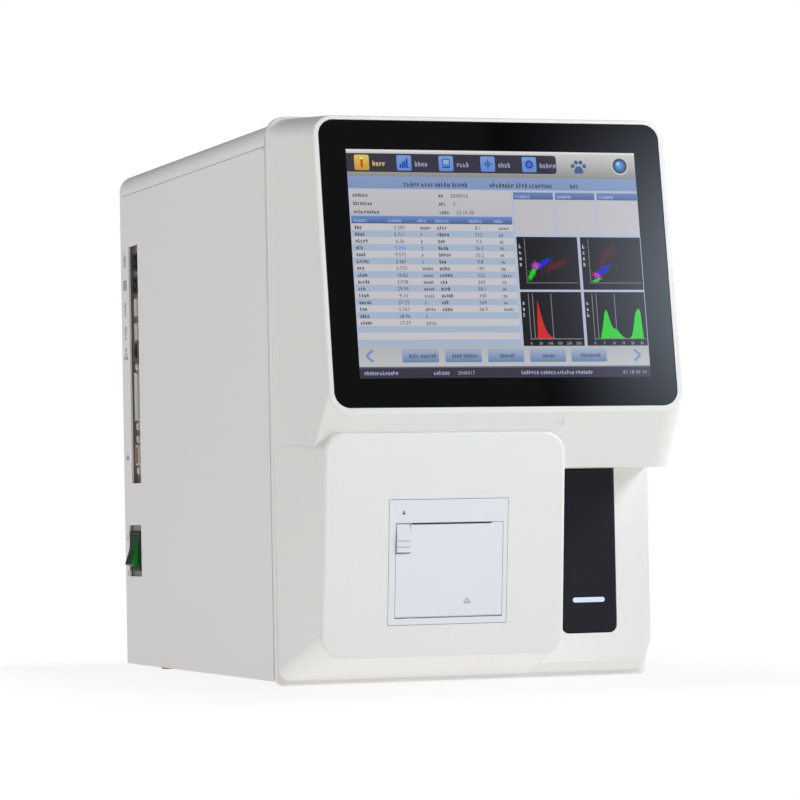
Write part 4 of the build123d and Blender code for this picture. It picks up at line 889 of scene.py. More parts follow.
    def tube(self, at: Point) -> None:
        """Draws a sample tube."""
        self.sheet.bar(at, 0.8, -3.4, 3.2, ink(208, 52, 34), 5, 0.7)
        self.sheet.bar(at, 0.9, 2.2, 3.6, ink(232, 222, 190), 6)

    def bars(self, at: Point) -> None:
        """Draws a bar chart.

        Args:
            at: The icon's middle in mm.
        """
        for step, tall in enumerate((2.2, 3.6, 4.2, 6.2)):
            self.sheet.bar((at[0] - 2.45 + step * 1.5, at[1]), 0.55, -2.8, tall - 2.8, self.icon_blue, 5)
        self.sheet.bar(at, 3.8, -3.3, -2.8, self.icon_blue, 5)

    def monitor(self, at: Point) -> None:
        """Draws a monitor.

        Args:
            at: The icon's middle in mm.
        """
        self.sheet.bar(at, 2.8, -1.4, 3.2, self.icon_blue, 5, 0.9)
        self.sheet.bar(at, 2.2, -0.8, 2.6, self.icon_pale, 6, 0.5)
        self.sheet.bar(at, 2.8, -3.2, -2.2, self.icon_blue, 5, 0.4)

    def cross_hair(self, at: Point) -> None:
        """Draws a cross-hair.

        Args:
            at: The icon's middle in mm.
        """
        self.sheet.ring(at, 2.0, 0.6, self.icon_blue, 5)
        self.sheet.disc(at, 0.8, self.icon_blue, 5)
        for dx, dy in ((1, 0), (-1, 0), (0, 1), (0, -1)):
            start, end = ((at[0] + reach * dx, at[1] + reach * dy) for reach in (1.4, 3.6))
            self.sheet.line(start, end, 0.5, self.icon_blue, 5)

    def gear(self, at: Point) -> None:
        """Draws a gear.

        Args:
            at: The icon's middle in mm.
        """
        for turn in range(12):
            angle = math.pi * turn / 6
            tip = (at[0] + 3.4 * math.cos(angle), at[1] + 3.4 * math.sin(angle))
            self.sheet.line(at, tip, 0.7, self.icon_blue, 5)
        self.sheet.disc(at, 2.4, self.icon_blue, 5)
        self.sheet.ring(at, 1.2, 0.45, self.icon_pale, 6)

    def paw(self, at: Point) -> None:
        """Draws a plain paw print.

        Args:
            at: Its middle in mm.
        """
        blue = ink(62, 92, 150)
        pad = (
            (-3.6, -4.0), (-1.6, -4.9), (0.0, -4.4), (1.6, -4.9), (3.6, -4.0), (3.0, -1.6), (1.2, 0.6),
            (-1.2, 0.6), (-3.0, -1.6),
        )
        self.sheet.shape([(at[0] + dx, at[1] + dy) for dx, dy in pad], blue, 3)
        for dx, dy in ((-4.3, 0.6), (-1.7, 3.2), (1.7, 3.2), (4.3, 0.6)):
            self.sheet.disc((at[0] + dx, at[1] + dy), 1.5, blue, 3)

    def knob(self, at: Point) -> None:
        """Draws the round glassy button.

        Args:
            at: Its middle in mm.
        """
        for dx, dy, radius, colour, layer in (
            (0.0, 0.0, 6.4, ink(196, 205, 218), 3),
            (0.0, 0.0, 5.6, ink(120, 124, 128), 4),
            (0.0, 0.0, 5.0, ink(62, 60, 58), 5),
            (0.0, 0.0, 3.9, ink(52, 110, 178), 6),
            (-0.4, 0.6, 2.7, ink(78, 146, 214), 8),
            (-1.2, 1.5, 1.1, ink(168, 210, 240), 9),
        ):
            self.sheet.disc((at[0] + dx, at[1] + dy), radius, colour, layer)

    def details(self) -> None:
        """Draws the mode band, the sample's details and the three flag boxes."""
        self.area((0, 100), (11.8, 17.2), (ink(128, 148, 186), ink(134, 154, 192)))
        dark = ink(52, 58, 72)
        for left, counts in ((19.0, (5, 4, 5, 5)), (48.5, (8, 4, 8)), (76.5, (3,))):
            self.words(self.u(left), 16.2, 3.4, counts, dark)
        self.area(self.table_sides, (17.8, 28.6), (ink(188, 186, 190), ink(194, 192, 196)))
        for row, (name, label, value) in enumerate(((6, 2, "2040016"), (8, 3, "5"), (10, 4, "12 10 30"))):
            y = 20.9 + row * 3.7
            self.words(self.u(1.4), y, 2.7, (name,), dark)
            self.words(self.u(30.6), y, 2.7, (label,), dark)
            self.sheet.number(value, (self.u(34.6 + row * 0.8), self.v(y)), 3.7, dark, Align.LEFT)
        for left, right in ((56.4, 70.2), (71.0, 84.8), (85.6, 99.9)):
            self.area((left, right), (18.2, 21.4), (ink(76, 100, 152), ink(108, 132, 180)), 3)
            self.area((left, right), (21.4, 36.8), ink(190, 188, 192))
            self.words(self.u(left + 0.7), 20.8, 2.4, (7,), ink(170, 184, 214), 4)

    def table(self) -> None:
        """Draws the table of results: striped rows, strokes for names and units, and plain numbers."""
        self.area(self.table_sides, (29.2, self.table_top), (ink(72, 98, 152), ink(112, 140, 192)))
        for at, letters in ((1.2, 6), (12.8, 6), (22.8, 4), (29.0, 6), (40.4, 6), (49.2, 4)):
            self.words(self.u(at), 31.9, 2.4, (letters,), ink(160, 178, 212))
        numbers = random.Random(7)
        tall = (self.table_foot - self.table_top) / self.row_count
        names, dark, marked = ink(30, 32, 40), ink(62, 64, 74), ink(86, 92, 220)
        for row in range(self.row_count):
            top = self.table_top + row * tall
            stripe = ink(166, 180, 202) if row % 2 else ink(198, 196, 202)
            self.area(self.table_sides, (top, top + tall), stripe)
            y = top + tall * 0.84
            if row > 14:
                continue
            self.words(self.u(1.4), y, 2.7, (3 + row % 3,), names)
            value = numbers.choice((f"{numbers.uniform(0.2, 9.8):.3f}", f"{numbers.uniform(3, 40):.2f}"))
            self.sheet.number(value, (self.u(16.4), self.v(y)), 3.6, marked if row == 3 else dark)
            self.words(self.u(23.6), y, 2.3, (1 if row in (1, 2, 3, 4, 5, 11, 13) else 5,), dark)
            if row > 12:
                continue
            self.words(self.u(29.4), y, 2.7, (3 + (row + 1) % 3,), names)
            value = numbers.choice((f"{numbers.uniform(4, 60):.1f}", f"{numbers.randint(90, 400)}"))
            self.sheet.number(value, (self.u(43.4), self.v(y)), 3.6, dark)
            self.words(self.u(50.6), y, 2.3, (5 if row in (0, 7, 12) else 2,), dark)

    def plot(self, sides: Point, top: float, foot: float) -> Plot:
        """Lays a plot's black field.

        Args:
            sides: Its left and right ends, as shares.
            top: Its top, as a share.
            foot: Its foot, as a share.

        Returns:
            The field.
        """
        self.area(sides, (top, foot), self.night)
        left, base = self.u(sides[0]), self.v(foot)
        return Plot(left, base, self.u(sides[1]) - left, self.v(top) - base)

    def scale_marks(self, plot: Plot, drop: float, count: int) -> None:
        """Writes the small marks up a plot's left side.

        Args:
            plot: The plot.
            drop: How far the first stands below the top, in mm.
            count: How many there are.
        """
        top = plot.foot + plot.tall - drop
        for step in range(count):
            self.sheet.dashes((plot.left + 1.4, top - step * 4.2), 2.8, 1, self.label_grey, 3)

    def scatter(self, sides: Point, clouds: tuple[Cloud, ...], seed: int) -> None:
        """Draws one plot of scattered cells on black.

        Args:
            sides: The plot's left and right ends, as shares.
            clouds: Its clouds of dots.
            seed: The seed of the scatter.
        """
        plot = self.plot(sides, 38.0, 61.4)
        corner, grey = plot.at(plot.zero, plot.zero), ink(120, 120, 122)
        for tip in (plot.at(plot.zero, plot.end), plot.at(plot.end, plot.zero)):
            self.sheet.line(corner, tip, 0.5, grey, 3)
        self.scale_marks(plot, 8.0, 4)
        low_x, low_y = plot.at(0.15, 0.15)
        high_x, high_y = (value - 0.8 for value in plot.at(1.0, 1.0))
        chooser = random.Random(seed)
        for cloud in clouds:
            half = 0.21 if cloud.spread[0] < 0.06 else 0.15
            for _ in range(cloud.dots):
                lean = chooser.gauss(0, 1)
                rise = cloud.slant * lean + chooser.gauss(0, 0.6)
                across = cloud.middle[0] + cloud.spread[0] * lean
                x, y = plot.at(across, cloud.middle[1] + cloud.spread[1] * rise)
                if low_x < x < high_x and low_y < y < high_y:
                    self.sheet.bar((x, y), half, -half, half, cloud.colour, 4)

    def peaks(self, sides: Point, curve: Callable[[float], float], tint: Colour, pitch: int) -> None:
        """Draws one plot with a filled curve, its marks and its scale.

        Args:
            sides: The plot's left and right ends, as shares.
            curve: The curve's height at a share of its length.
            tint: The fill's colour.
            pitch: The step between the scale's numbers.
        """
        plot = self.plot(sides, 62.4, 86.2)
        zero, base = plot.at(plot.zero, plot.zero)
        shares = [step / self.curve_steps for step in range(self.curve_steps + 1)]
        points = [(zero + share * plot.wide * 0.84, base + plot.tall * curve(share)) for share in shares]
        for (ax, ay), (bx, by) in zip(points, points[1:]):
            if max(ay, by) - base > 0.05:
                corners = [(ax, base - 0.01), (bx, base - 0.01), (bx, by + 0.01), (ax, ay + 0.01)]
                self.sheet.shape(corners, tint, 4)
        grey = ink(122, 122, 124)
        for mark in (0.0, 0.08, 0.44):
            spot = zero + mark * plot.wide * 0.84
            self.sheet.line((spot, base), (spot, plot.at(0.0, plot.end)[1]), 0.6, grey, 3 if mark else 5)
        self.sheet.line((zero, base), (plot.at(0.98, 0.0)[0], base), 0.6, grey, 5)
        for step in range(6):
            spot = zero + step * plot.wide * 0.155
            self.sheet.line((spot, base), (spot, base - 0.9), 0.5, grey, 5)
            self.sheet.number(str(step * pitch), (spot, plot.foot + 0.9), 2.6, ink(180, 180, 182))
        self.scale_marks(plot, 9.0, 3)

    def footer(self) -> None:
        """Draws the row of buttons, the arrows and the status line."""
        self.area((0, 100), (86.2, 95.2), (ink(190, 190, 192), ink(176, 180, 184)))
        self.area((0, 100), (95.0, 95.6), ink(96, 104, 138), 3)
        self.area((0, 100), (95.5, 100), ink(58, 54, 68))
        for left, letters in ((14.6, (4, 6)), (29.2, (4, 6)), (43.8, (6,)), (58.3, (5,)), (72.6, (8,))):
            self.area((left, left + 12.4), (87.3, 93.2), (ink(104, 128, 172), ink(162, 176, 196)), 3, 0.8)
            span = (sum(letters) + len(letters) - 1) * 1.45
            self.words(self.u(left + 6.2) - span / 2, 91.2, 2.8, letters, ink(66, 74, 96), 4, 1.0)
        y = self.v(90.4)
        for x, way in ((self.u(3.6), -1), (self.u(95.8), 1)):
            for rise in (-1, 1):
                tip, tail = (x + 2.2 * way, y), (x - 2.4 * way, y + 4.0 * rise)
                self.sheet.line(tip, tail, 1.9, ink(122, 146, 190), 3 + (rise > 0))
        pale = ink(160, 168, 196)
        for left, counts, gap in ((1.6, (13,), 0.0), (25.0, (6,), 0.0), (55.0, (7, 6, 7, 7), 0.9)):
            self.words(self.u(left), 98.6, 2.8, counts, pale, 3, gap)
        self.sheet.number("2040017", (self.u(33.0), self.v(98.6)), 3.6, pale, Align.LEFT)
        self.sheet.number("01 18 04 14", (self.u(98.6), self.v(98.6)), 3.6, pale, Align.RIGHT)


# Marks on the printer and beside the ports


@dataclass
class PrinterMarks:
    """The small marks on the printer's face: a printed arrow, a printed paper sign and painted shade in the
    lever's grooves.
    """

    datum: Datum
    lean: float = 6.38
    boss_top: float = 172.6
    boss_front: float = 7.9
    middle: float = -40.3
    drop: float = 88.55
    arrow: Point = (-32.45, 33.65)
    paper: Point = (14.0, -27.95)
    sheet_lift: float = 0.04
    lever_sides: Point = (-37.1, -27.8)
    groove_rises: Point = (10.55, 14.75)
    groove_half: float = 0.3
    groove_lift: float = 1.12
    grey: Colour = ink(92, 96, 104)
    # painted shade: the grey of the bands in the lever's grip grooves
    groove_painted_shade: Colour = ink(186, 182, 178)

    def face(self) -> Face:
        """The printer's own face, from its middle.

        Returns:
            The face.
        """
        turn = math.radians(self.lean)
        up = Vector((0.0, -math.sin(turn), math.cos(turn)))
        y = self.boss_front + self.drop * math.sin(turn)
        z = self.boss_top - self.drop * math.cos(turn)
        return Face(self.datum.at(self.middle, y, z), Vector((1.0, 0.0, 0.0)), up)

    def build(self) -> None:
        """Prints the arrow and the paper sign, and paints shade into the lever's grooves."""
        # one material for the printed marks and for the painted shade in the grooves
        material = InkFinish("print_and_painted_shade", 0.0, 0.5).material()
        marks = (
            (self.point_down, "lever_mark", self.sheet_lift, "cabinet"),
            (self.paper_sign, "paper_mark", self.sheet_lift, "paper_door"),
            (self.grooves, "lever_grooves", self.groove_lift, "printer_lever"),
        )
        for draw, name, lift, body in marks:
            sheet = InkSheet(name, self.face(), lift)
            draw(sheet)
            sheet.finish(material, body, "black_plastic")

    def point_down(self, sheet: InkSheet) -> None:
        """Draws an arrow that points down to the lever.

        Args:
            sheet: The sheet.
        """
        x, y = self.arrow
        sheet.shape([(x - 1.5, y + 0.2), (x, y - 1.5), (x + 1.5, y + 0.2)], self.grey)
        sheet.bar(self.arrow, 0.4, 0.2, 1.7, self.grey)

    def paper_sign(self, sheet: InkSheet) -> None:
        """Draws a tray with lines of print over it.

        Args:
            sheet: The sheet.
        """
        sheet.bar(self.paper, 2.2, -0.9, -0.5, self.grey)
        for side in (-2.0, 2.0):
            sheet.bar((self.paper[0] + side, self.paper[1]), 0.2, -0.9, 0.9, self.grey)
        sheet.bar(self.paper, 1.4, 0.2, 0.5, self.grey)
        for foot in (1.0, 1.6, 2.2):
            sheet.bar(self.paper, 1.2, foot, foot + 0.25, self.grey)

    def grooves(self, sheet: InkSheet) -> None:
        """Paints shade into the two grip grooves on the lever: grey bands that stand in for the shade in
        them.

        Args:
            sheet: The sheet.
        """
        for rise in self.groove_rises:
            sheet.box(self.lever_sides, (rise - self.groove_half, rise + self.groove_half), self.groove_painted_shade)


@dataclass
class SerialContacts:
    """The gilt contacts that show in the short connector's shell."""

    datum: Datum
    tip: float = -138.25
    length: float = 3.0
    line: float = 474.6
    height: float = 168.2
    pitch: float = 2.77
    row: float = 1.42
    side: float = 1.1

    def build(self, material: bpy.types.Material) -> bpy.types.Object:
        """Stands five contacts in one row and four in the other.

        Args:
            material: The gilt.

        Returns:
            The contacts, riding the cabinet.
        """
        mesh = bmesh.new()
        size = Matrix.Diagonal((self.length * MM, self.side * MM, self.side * MM, 1.0))
        for offset, count in ((self.row, 5), (-self.row, 4)):
            for index in range(count):
                z = self.height + (index - (count - 1) / 2) * self.pitch
                place = self.datum.at(self.tip + self.length / 2, self.line + offset, z)
                bmesh.ops.create_cube(mesh, size=1.0, matrix=Matrix.Translation(place) @ size)
        made = place_mesh("serial_contacts", mesh, material)
        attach(made, "cabinet")
        return made


@dataclass
class SideMarks:
    """The grey signs printed on the left side beside the ports and the switch."""

    datum: Datum
    side: float = -138.5
    across: float = -499.0
    mouse_height: float = 324.0
    keyboard_height: float = 304.0
    fork_heights: Point = (285.5, 266.5)
    network_height: float = 249.0
    serial_height: float = 166.5
    switch_across: float = -503.0
    open_height: float = 103.0
    closed_height: float = 75.0
    grey: Colour = ink(118, 118, 121)
    pale: Colour = ink(206, 206, 207)

    def __post_init__(self) -> None:
        """Lays the sheet on the left side: right is towards the front, up is up."""
        face = Face(self.datum.at(self.side, 0.0, 0.0), Vector((0.0, -1.0, 0.0)), Vector((0.0, 0.0, 1.0)))
        self.sheet = InkSheet("side_marks", face, 0.04)

    def mouse(self) -> None:
        """Prints a mouse with its cord."""
        at = (self.across, self.mouse_height)
        self.sheet.bar(at, 4.0, -5.6, 3.4, self.grey, 1, 3.4)
        self.sheet.bar(at, 3.4, -5.0, 2.8, self.pale, 2, 2.9)
        self.sheet.bar(at, 3.4, -0.2, 0.3, self.grey, 3)
        self.sheet.bar(at, 0.3, 0.3, 7.4, self.grey, 3)

    def keyboard(self) -> None:
        """Prints a keyboard with three rows of keys."""
        at = (self.across, self.keyboard_height)
        self.sheet.bar(at, 5.2, -3.8, 3.8, self.grey, 1, 0.8)
        for row in range(3):
            for column in range(5):
                x = at[0] - 4.3 + column * 1.85
                y = at[1] - 2.9 + row * 2.1
                self.sheet.box((x, x + 1.35), (y, y + 1.6), self.pale, 2)

    def forks(self) -> None:
        """Prints two three-ended forks."""
        for height in self.fork_heights:
            at = (self.across, height)
            self.sheet.bar(at, 0.35, -4.4, 3.6, self.grey)
            self.sheet.disc((at[0], height - 5.0), 1.3, self.grey, 1, 20)
            arrow = [(at[0] - 1.3, height + 3.6), (at[0] + 1.3, height + 3.6), (at[0], height + 6.0)]
            self.sheet.shape(arrow, self.grey)
            for way, low in ((1, -1.8), (-1, -3.2)):
                elbow = (at[0] + 2.6 * way, height + low + 2.6)
                self.sheet.line((at[0], height + low), elbow, 0.6, self.grey, 2)
                self.sheet.bar(elbow, 0.3, 0.0, 1.6, self.grey, 2)
                self.sheet.bar(elbow, 0.9, 1.6, 3.2, self.grey, 2)

    def network(self) -> None:
        """Prints three joined stations."""
        at = (self.across, self.network_height)
        for dx, foot in ((0.0, 2.4), (-3.2, -4.4), (3.2, -4.4)):
            self.sheet.bar((at[0] + dx, at[1]), 1.7, foot, foot + 2.6, self.grey)
        for dx, half, foot, top in (
            (0.0, 0.3, 0.2, 2.4), (0.0, 3.5, -0.4, 0.2), (-3.2, 0.3, -1.8, -0.4), (3.2, 0.3, -1.8, -0.4),
        ):
            self.sheet.bar((at[0] + dx, at[1]), half, foot, top, self.grey, 2)

    def serial(self) -> None:
        """Prints bars and rings in turn."""
        for dx in (-1.5, 1.5):
            self.sheet.bar((self.across + dx, self.serial_height), 0.35, -2.6, 2.6, self.grey)
        for dx in (-3.1, 0.0, 3.1):
            self.sheet.ring((self.across + dx, self.serial_height), 1.2, 0.5, self.grey, 2)

    def switch(self) -> None:
        """Prints a ring with a bar for one end of the switch and a double ring for the other."""
        for height in (self.open_height, self.closed_height):
            self.sheet.ring((self.switch_across, height), 2.2, 0.5, self.grey)
        self.sheet.bar((self.switch_across, self.open_height), 0.3, -1.1, 1.1, self.grey)
        self.sheet.ring((self.switch_across, self.closed_height), 1.1, 0.4, self.grey)

    def build(self) -> bpy.types.Object:
        """Prints the signs.

        Returns:
            The sheet.
        """
        for draw in (self.mouse, self.keyboard, self.forks, self.network, self.serial, self.switch):
            draw()
        return self.sheet.finish(InkFinish("side_print", 0.0, 0.55).material(), "cabinet", "black_plastic")


# Finishes of the CAD nodes

OUTSIDE = (
    (
        Finish("white_moulding", ink(241, 241, 239), ink(238, 238, 236), (0.3, 0.38), 2200.0, 0.03,
               subsurface=0.06),
        "front_moulding",
    ),
    (
        Finish("light_grey_powder_coat", ink(239, 238, 238), ink(236, 235, 235), (0.42, 0.55), 1500.0, 0.16),
        "left_side_panel right_side_panel rear_panel",
    ),
    (
        Finish("white_powder_coat", ink(238, 239, 240), ink(234, 235, 236), (0.42, 0.55), 1500.0, 0.16),
        "top_cover",
    ),
    (
        Finish("cool_white_moulding", ink(236, 240, 245), ink(233, 237, 242), (0.3, 0.4), 2600.0, 0.03),
        "printer_housing printer_flap printer_lever",
    ),
    (
        Finish("satin_black_moulding", ink(31, 32, 40), ink(28, 29, 37), (0.36, 0.46), 2600.0, 0.06,
               specular=0.18),
        "sample_door tube_holder",
    ),
    (
        Finish("black_glass", ink(9, 9, 10), ink(11, 11, 12), (0.03, 0.06), 40.0, 0.0, drift=14.0),
        "screen_glass",
    ),
    (
        Finish("lit_frosted_bar", ink(196, 209, 228), ink(200, 212, 230), (0.2, 0.3), 900.0, glow=0.3),
        "status_light_bar",
    ),
    (
        Finish("black_rubber", ink(34, 34, 35), ink(44, 44, 44), (0.7, 0.85), 700.0, 0.3),
        "feet platen_roller",
    ),
)

PORTS = (
    (
        Finish("dull_plate", ink(146, 142, 137), ink(128, 124, 120), (0.34, 0.5), 700.0, 0.08,
               metallic=0.45, drift=30.0),
        "connector_tray switch_plate",
    ),
    (
        Finish("tin_plate", ink(242, 241, 238), ink(230, 229, 226), (0.2, 0.32), 600.0, metallic=0.2),
        "parallel_port serial_port usb_ports port_screws",
    ),
    (
        Finish("dull_nickel", ink(122, 117, 110), ink(104, 100, 95), (0.3, 0.42), 600.0, metallic=0.5),
        "network_port",
    ),
    (
        Finish("black_moulding", ink(19, 19, 20), ink(24, 24, 25), (0.4, 0.55), 1800.0, 0.08, specular=0.25),
        "switch_housing mains_inlet fan_frame fan_rotor print_head probe_carriage probe_motor vacuum_pump"
        " bay_liner round_ports",
    ),
    (
        # the rocker's ends: a brighter green painted on the faces that look along Y, a painted highlight
        # where light falls strongly on them
        Finish("ribbed_green_moulding", ink(8, 66, 34), ink(6, 54, 28), (0.3, 0.4), specular=0.35,
               bands=150.0, band_depth=0.35, ends=ink(0, 150, 34)),
        "switch_rocker",
    ),
    (
        Finish("polished_wire", ink(214, 214, 216), ink(196, 196, 200), (0.08, 0.16), 300.0, 0.02,
               metallic=1.0),
        "fan_grille sample_probe",
    ),
    (
        Finish("machined_steel", ink(184, 184, 186), ink(160, 160, 164), (0.26, 0.4), metallic=1.0,
               bands=900.0, band_axis=BandAxis.X, band_depth=0.15, band_height=0.00005),
        "panel_screws tear_bar lever_pin printer_hinge_pin door_hinge_pin probe_rail syringe_plunger"
        " solenoid_valves",
    ),
    (
        Finish("turned_brass", ink(206, 172, 96), ink(178, 146, 82), (0.24, 0.38), 500.0, 0.04,
               metallic=1.0),
        "ground_terminal board_standoffs",
    ),
    (
        Finish("natural_fitting_plastic", ink(226, 226, 222), ink(214, 214, 210), (0.4, 0.5), 900.0,
               subsurface=0.1),
        "hose_ports reaction_chambers waste_chamber",
    ),
)

INSIDE = (
    (
        Finish("zinc_sheet", ink(186, 190, 194), ink(166, 170, 176), (0.3, 0.48), 160.0, 0.06,
               metallic=1.0, drift=26.0),
        "base_pan divider_plate probe_tower display_bracket power_supply display_module",
    ),
    (
        Finish("solder_mask", ink(24, 92, 54), ink(18, 76, 44), (0.22, 0.34), 420.0, 0.2, drift=60.0),
        "main_board",
    ),
    (
        Finish("milled_aluminium", ink(200, 202, 205), ink(184, 186, 190), (0.28, 0.42), metallic=1.0,
               bands=420.0, band_axis=BandAxis.Y, band_height=0.00006),
        "board_chips optical_bench syringe_frame",
    ),
    (
        Finish("clear_acrylic", ink(236, 240, 242), ink(228, 234, 238), (0.04, 0.1), 60.0, 0.0,
               transmission=0.85),
        "valve_manifold syringe_barrel",
    ),
    (
        Finish("wound_paper", ink(238, 238, 234), ink(230, 230, 226), (0.75, 0.9), bands=1300.0,
               band_depth=0.25, band_height=0.00008),
        "paper_roll",
    ),
)

GILT = Finish("gilt_contacts", ink(190, 146, 92), ink(160, 118, 70), (0.3, 0.42), 900.0, 0.03, metallic=0.5)


@dataclass
class Dressing:
    """Gives every CAD node its finish."""

    nodes: dict[str, bpy.types.Object]
    effects: Effects
    shell_reach: float = 3.1

    def wear(self, finishes: tuple[tuple[Finish, str], ...]) -> None:
        """Dresses nodes in their finishes.

        Args:
            finishes: Each finish with the names of its nodes.
        """
        for finish, names in finishes:
            material = finish.material(self.effects)
            for name in names.split():
                data = self.nodes[name].data
                data.materials.clear()
                data.materials.append(material)
                LOG.info("%s: %s", name, finish.name)

    def stand_proud(self, name: str) -> None:
        """Shows ports as their shells stand in the plate: a little further out than their solids.

        Args:
            name: The CAD node.
        """
        node = self.nodes[name]
        mesh = bmesh.new()
        mesh.from_mesh(node.data)
        bmesh.ops.remove_doubles(mesh, verts=mesh.verts[:], dist=0.001 * MM)
        outwards = Matrix.Translation((-self.shell_reach * MM, 0.0, 0.0)) @ node.matrix_world
        bmesh.ops.transform(mesh, matrix=outwards, verts=mesh.verts[:])
        made = place_mesh(f"{name}_shells", mesh, node.data.materials[0])
        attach(made, "cabinet")
        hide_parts(name)

    def build(self) -> None:
        """Dresses the outside, the ports and the inside, and stands the ports' shells proud."""
        for finishes in (OUTSIDE, PORTS, INSIDE):
            self.wear(finishes)
        for name, slot in (
            ("round_ports", "black_plastic"), ("usb_ports", "port_shell"), ("network_port", "port_shell"),
        ):
            self.stand_proud(name)


# Studio


AIM = Vector((0.0, 0.0, 0.2))


@dataclass(frozen=True)
class Softbox:
    """A soft box on a stand: a bright panel that fades towards its edges and looks at the analyzer."""

    name: str
    azimuth: float
    elevation: float
    distance: float
    size: tuple[float, float]
    strength: float
    colour: Colour
    fade: tuple[float, float] = (0.45, 1.0)

    def falloff(self, graph: Graph) -> bpy.types.NodeSocket:
        """Fades the panel from its middle towards its edges.

        Args:
            graph: The material's graph.

        Returns:
            The share of the full brightness.
        """
        shares = [
            graph.ease(off, (side / 2 * (1 - fade), side / 2), (1.0, 0.0))
            for off, side, fade in zip(graph.off_middle(), self.size, self.fade)
        ]
        return graph.maths("MULTIPLY", *shares)

    def build(self) -> bpy.types.Object:
        """Hangs the panel.

        Returns:
            The panel.
        """
        mesh = bmesh.new()
        size = Matrix.Diagonal((self.size[0] / 2, self.size[1] / 2, 1.0, 1.0))
        bmesh.ops.create_grid(mesh, x_segments=1, y_segments=1, size=1.0, matrix=size)
        material, graph, _ = new_material(self.name)
        strength = graph.maths("MULTIPLY", self.falloff(graph), self.strength)
        glow = graph.node("ShaderNodeEmission", Color=(*self.colour, 1.0), Strength=strength)
        graph.feed(material.node_tree.nodes["Material Output"], Surface=glow.outputs["Emission"])
        made = place_mesh(self.name, mesh, material)
        turn, rise = math.radians(self.azimuth), math.radians(self.elevation)
        away = Vector((math.sin(turn) * math.cos(rise), -math.cos(turn) * math.cos(rise), math.sin(rise)))
        made.location = AIM + away * self.distance
        made.rotation_euler = away.to_track_quat("Z", "Y").to_euler()
        made.visible_camera = False
        return made


@dataclass(frozen=True)
class Lamp:
    """A soft square lamp that looks at the analyzer: its place in metres, its side, watts and colour."""

    name: str
    place: tuple[float, float, float]
    size: float
    power: float
    colour: Colour

    def build(self) -> None:
        """Hangs the lamp."""
        data = bpy.data.lights.new(self.name, "AREA")
        data.shape = "SQUARE"
        data.size = self.size
        data.energy = self.power
        data.color = self.colour
        made = bpy.data.objects.new(self.name, data)
        made.rotation_euler = (AIM - Vector(self.place)).to_track_quat("-Z", "Y").to_euler()
        made.location = self.place
        bpy.context.scene.collection.objects.link(made)
        LOG.info("lamp %s", self.name)


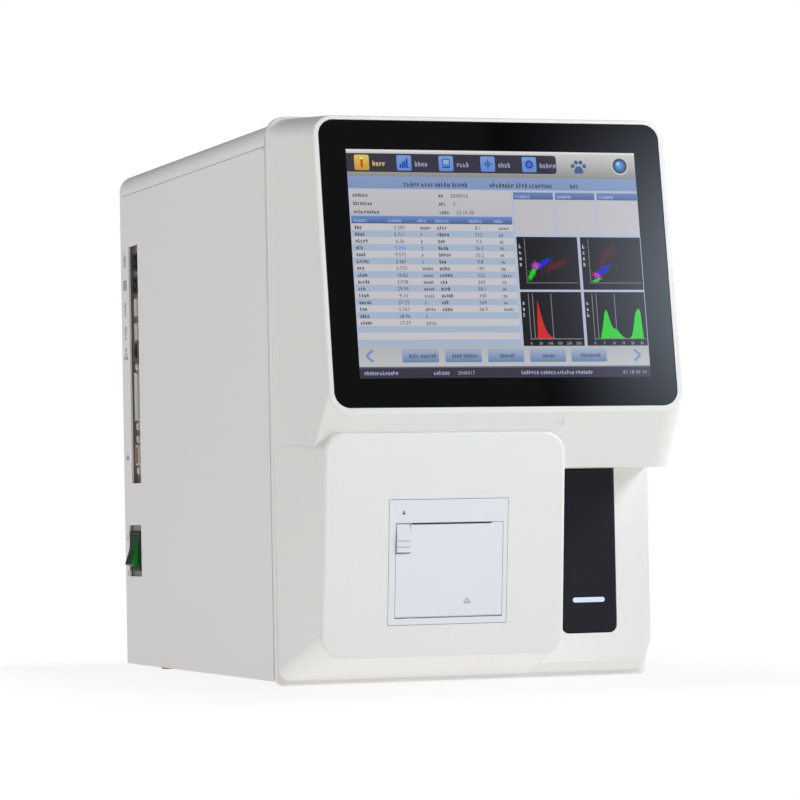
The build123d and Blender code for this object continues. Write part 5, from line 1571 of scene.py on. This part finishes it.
@dataclass
class Studio:
    """The floor, the backdrop, the lamps and the camera."""

    datum: Datum
    camera_place: tuple[float, float, float] = (-870.69, -2321.48, 116.19)
    yaw: float = 18.836
    pitch: float = 1.82
    roll: float = -1.108
    focal_px: float = 3647.1
    image_px: int = 800
    sensor: float = 36.0
    clip: tuple[float, float] = (0.05, 200.0)
    floor_size: float = 30.0
    floor_grey: float = 0.82
    floor_rough: float = 0.9
    footprint: tuple[float, float] = (0.277, 0.52)
    floor_reach: float = 0.2
    floor_share: float = 0.88
    bounce: Colour = (0.96, 0.945, 0.92)
    air: float = 0.1
    air_colour: Colour = (0.96, 0.98, 1.0)
    lights: tuple[Softbox | Lamp, ...] = (
        Softbox("strip_right", 39.5, 18.0, 2.4, (1.6, 0.66), 7.0, (0.72, 0.82, 1.0)),
        Lamp("key_right", (1.42, -1.42, 1.5), 0.8, 31.0, (0.955, 0.975, 1.0)),
        Lamp("lamp_left", (-2.4, -0.5, 1.0), 1.6, 16.5, (0.99, 0.99, 1.0)),
        Lamp("lamp_top", (-0.1, 0.2, 2.5), 1.6, 3.5, (0.97, 0.98, 1.0)),
    )

    def camera(self) -> bpy.types.Object:
        """Places the camera at the photograph's viewpoint.

        Returns:
            The camera.
        """
        yaw, pitch, roll = (math.radians(v) for v in (self.yaw, self.pitch, self.roll))
        ahead = Vector((math.sin(yaw) * math.cos(pitch), math.cos(yaw) * math.cos(pitch), math.sin(pitch)))
        level = Vector((math.cos(yaw), -math.sin(yaw), 0.0))
        upright = level.cross(ahead)
        right = level * math.cos(roll) + upright * math.sin(roll)
        up = -level * math.sin(roll) + upright * math.cos(roll)
        data = bpy.data.cameras.new("photo_camera")
        data.sensor_width = self.sensor
        data.lens = self.focal_px * self.sensor / self.image_px
        data.clip_start, data.clip_end = self.clip
        made = bpy.data.objects.new("photo_camera", data)
        turn = Matrix((right, up, -ahead)).transposed().to_4x4()
        made.matrix_world = Matrix.Translation(self.datum.at(*self.camera_place)) @ turn
        bpy.context.scene.collection.objects.link(made)
        bpy.context.scene.camera = made
        return made

    def world(self) -> None:
        """Gives dim grey surroundings, and a white background to what looks past the analyzer."""
        world = bpy.data.worlds.new("studio_air")
        world.use_nodes = True
        bpy.context.scene.world = world
        graph, nodes = Graph(world.node_tree), world.node_tree.nodes
        dim = nodes["Background"]
        graph.feed(dim, Color=(*self.air_colour, 1.0), Strength=self.air)
        white = graph.node("ShaderNodeBackground", Color=WHITE, Strength=1.0)
        mixed = graph.mix_shaders(graph.camera_ray(), dim.outputs["Background"], white.outputs["Background"])
        graph.feed(nodes["World Output"], Surface=mixed)

    def floor(self) -> bpy.types.Object:
        """Lays a lit white table that keeps the analyzer's soft shadow close around it.

        Returns:
            The floor.
        """
        mesh = bmesh.new()
        bmesh.ops.create_grid(mesh, x_segments=1, y_segments=1, size=self.floor_size / 2)
        material, graph, shader = new_material("studio_white")
        graph.feed(shader, Base_Color=(*[self.floor_grey] * 3, 1.0), Roughness=self.floor_rough)
        tint = graph.blend(graph.camera_ray(), (*self.bounce, 1.0), WHITE)
        glow = graph.node("ShaderNodeEmission", Color=tint, Strength=1.0)
        outside = [
            graph.maths("SUBTRACT", off, side / 2) for off, side in zip(graph.off_middle(), self.footprint)
        ]
        away = graph.maths("MAXIMUM", *outside)
        share = graph.ease(away, (0.0, self.floor_reach), (self.floor_share, 1.0))
        mixed = graph.mix_shaders(share, shader.outputs["BSDF"], glow.outputs["Emission"])
        graph.feed(material.node_tree.nodes["Material Output"], Surface=mixed)
        made = place_mesh("studio_floor", mesh, material)
        return made

    def build(self) -> None:
        """Sets the surroundings, the floor, the lights, the camera and the view."""
        self.world()
        self.floor()
        for light in self.lights:
            light.build()
        self.camera()
        bpy.context.scene.view_settings.view_transform = "Standard"


def main() -> None:
    """Builds the scene piece by piece."""
    logging.basicConfig(level=logging.INFO, format="%(name)s: %(message)s")
    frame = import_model()
    datum, effects = Datum.of_frame(), Effects()
    Dressing(frame["nodes"], effects).build()
    ScreenPicture(datum).build()
    PrinterMarks(datum).build()
    SerialContacts(datum).build(GILT.material(effects))
    SideMarks(datum).build()
    Studio(datum).build()


if __name__ == "__main__":
    main()
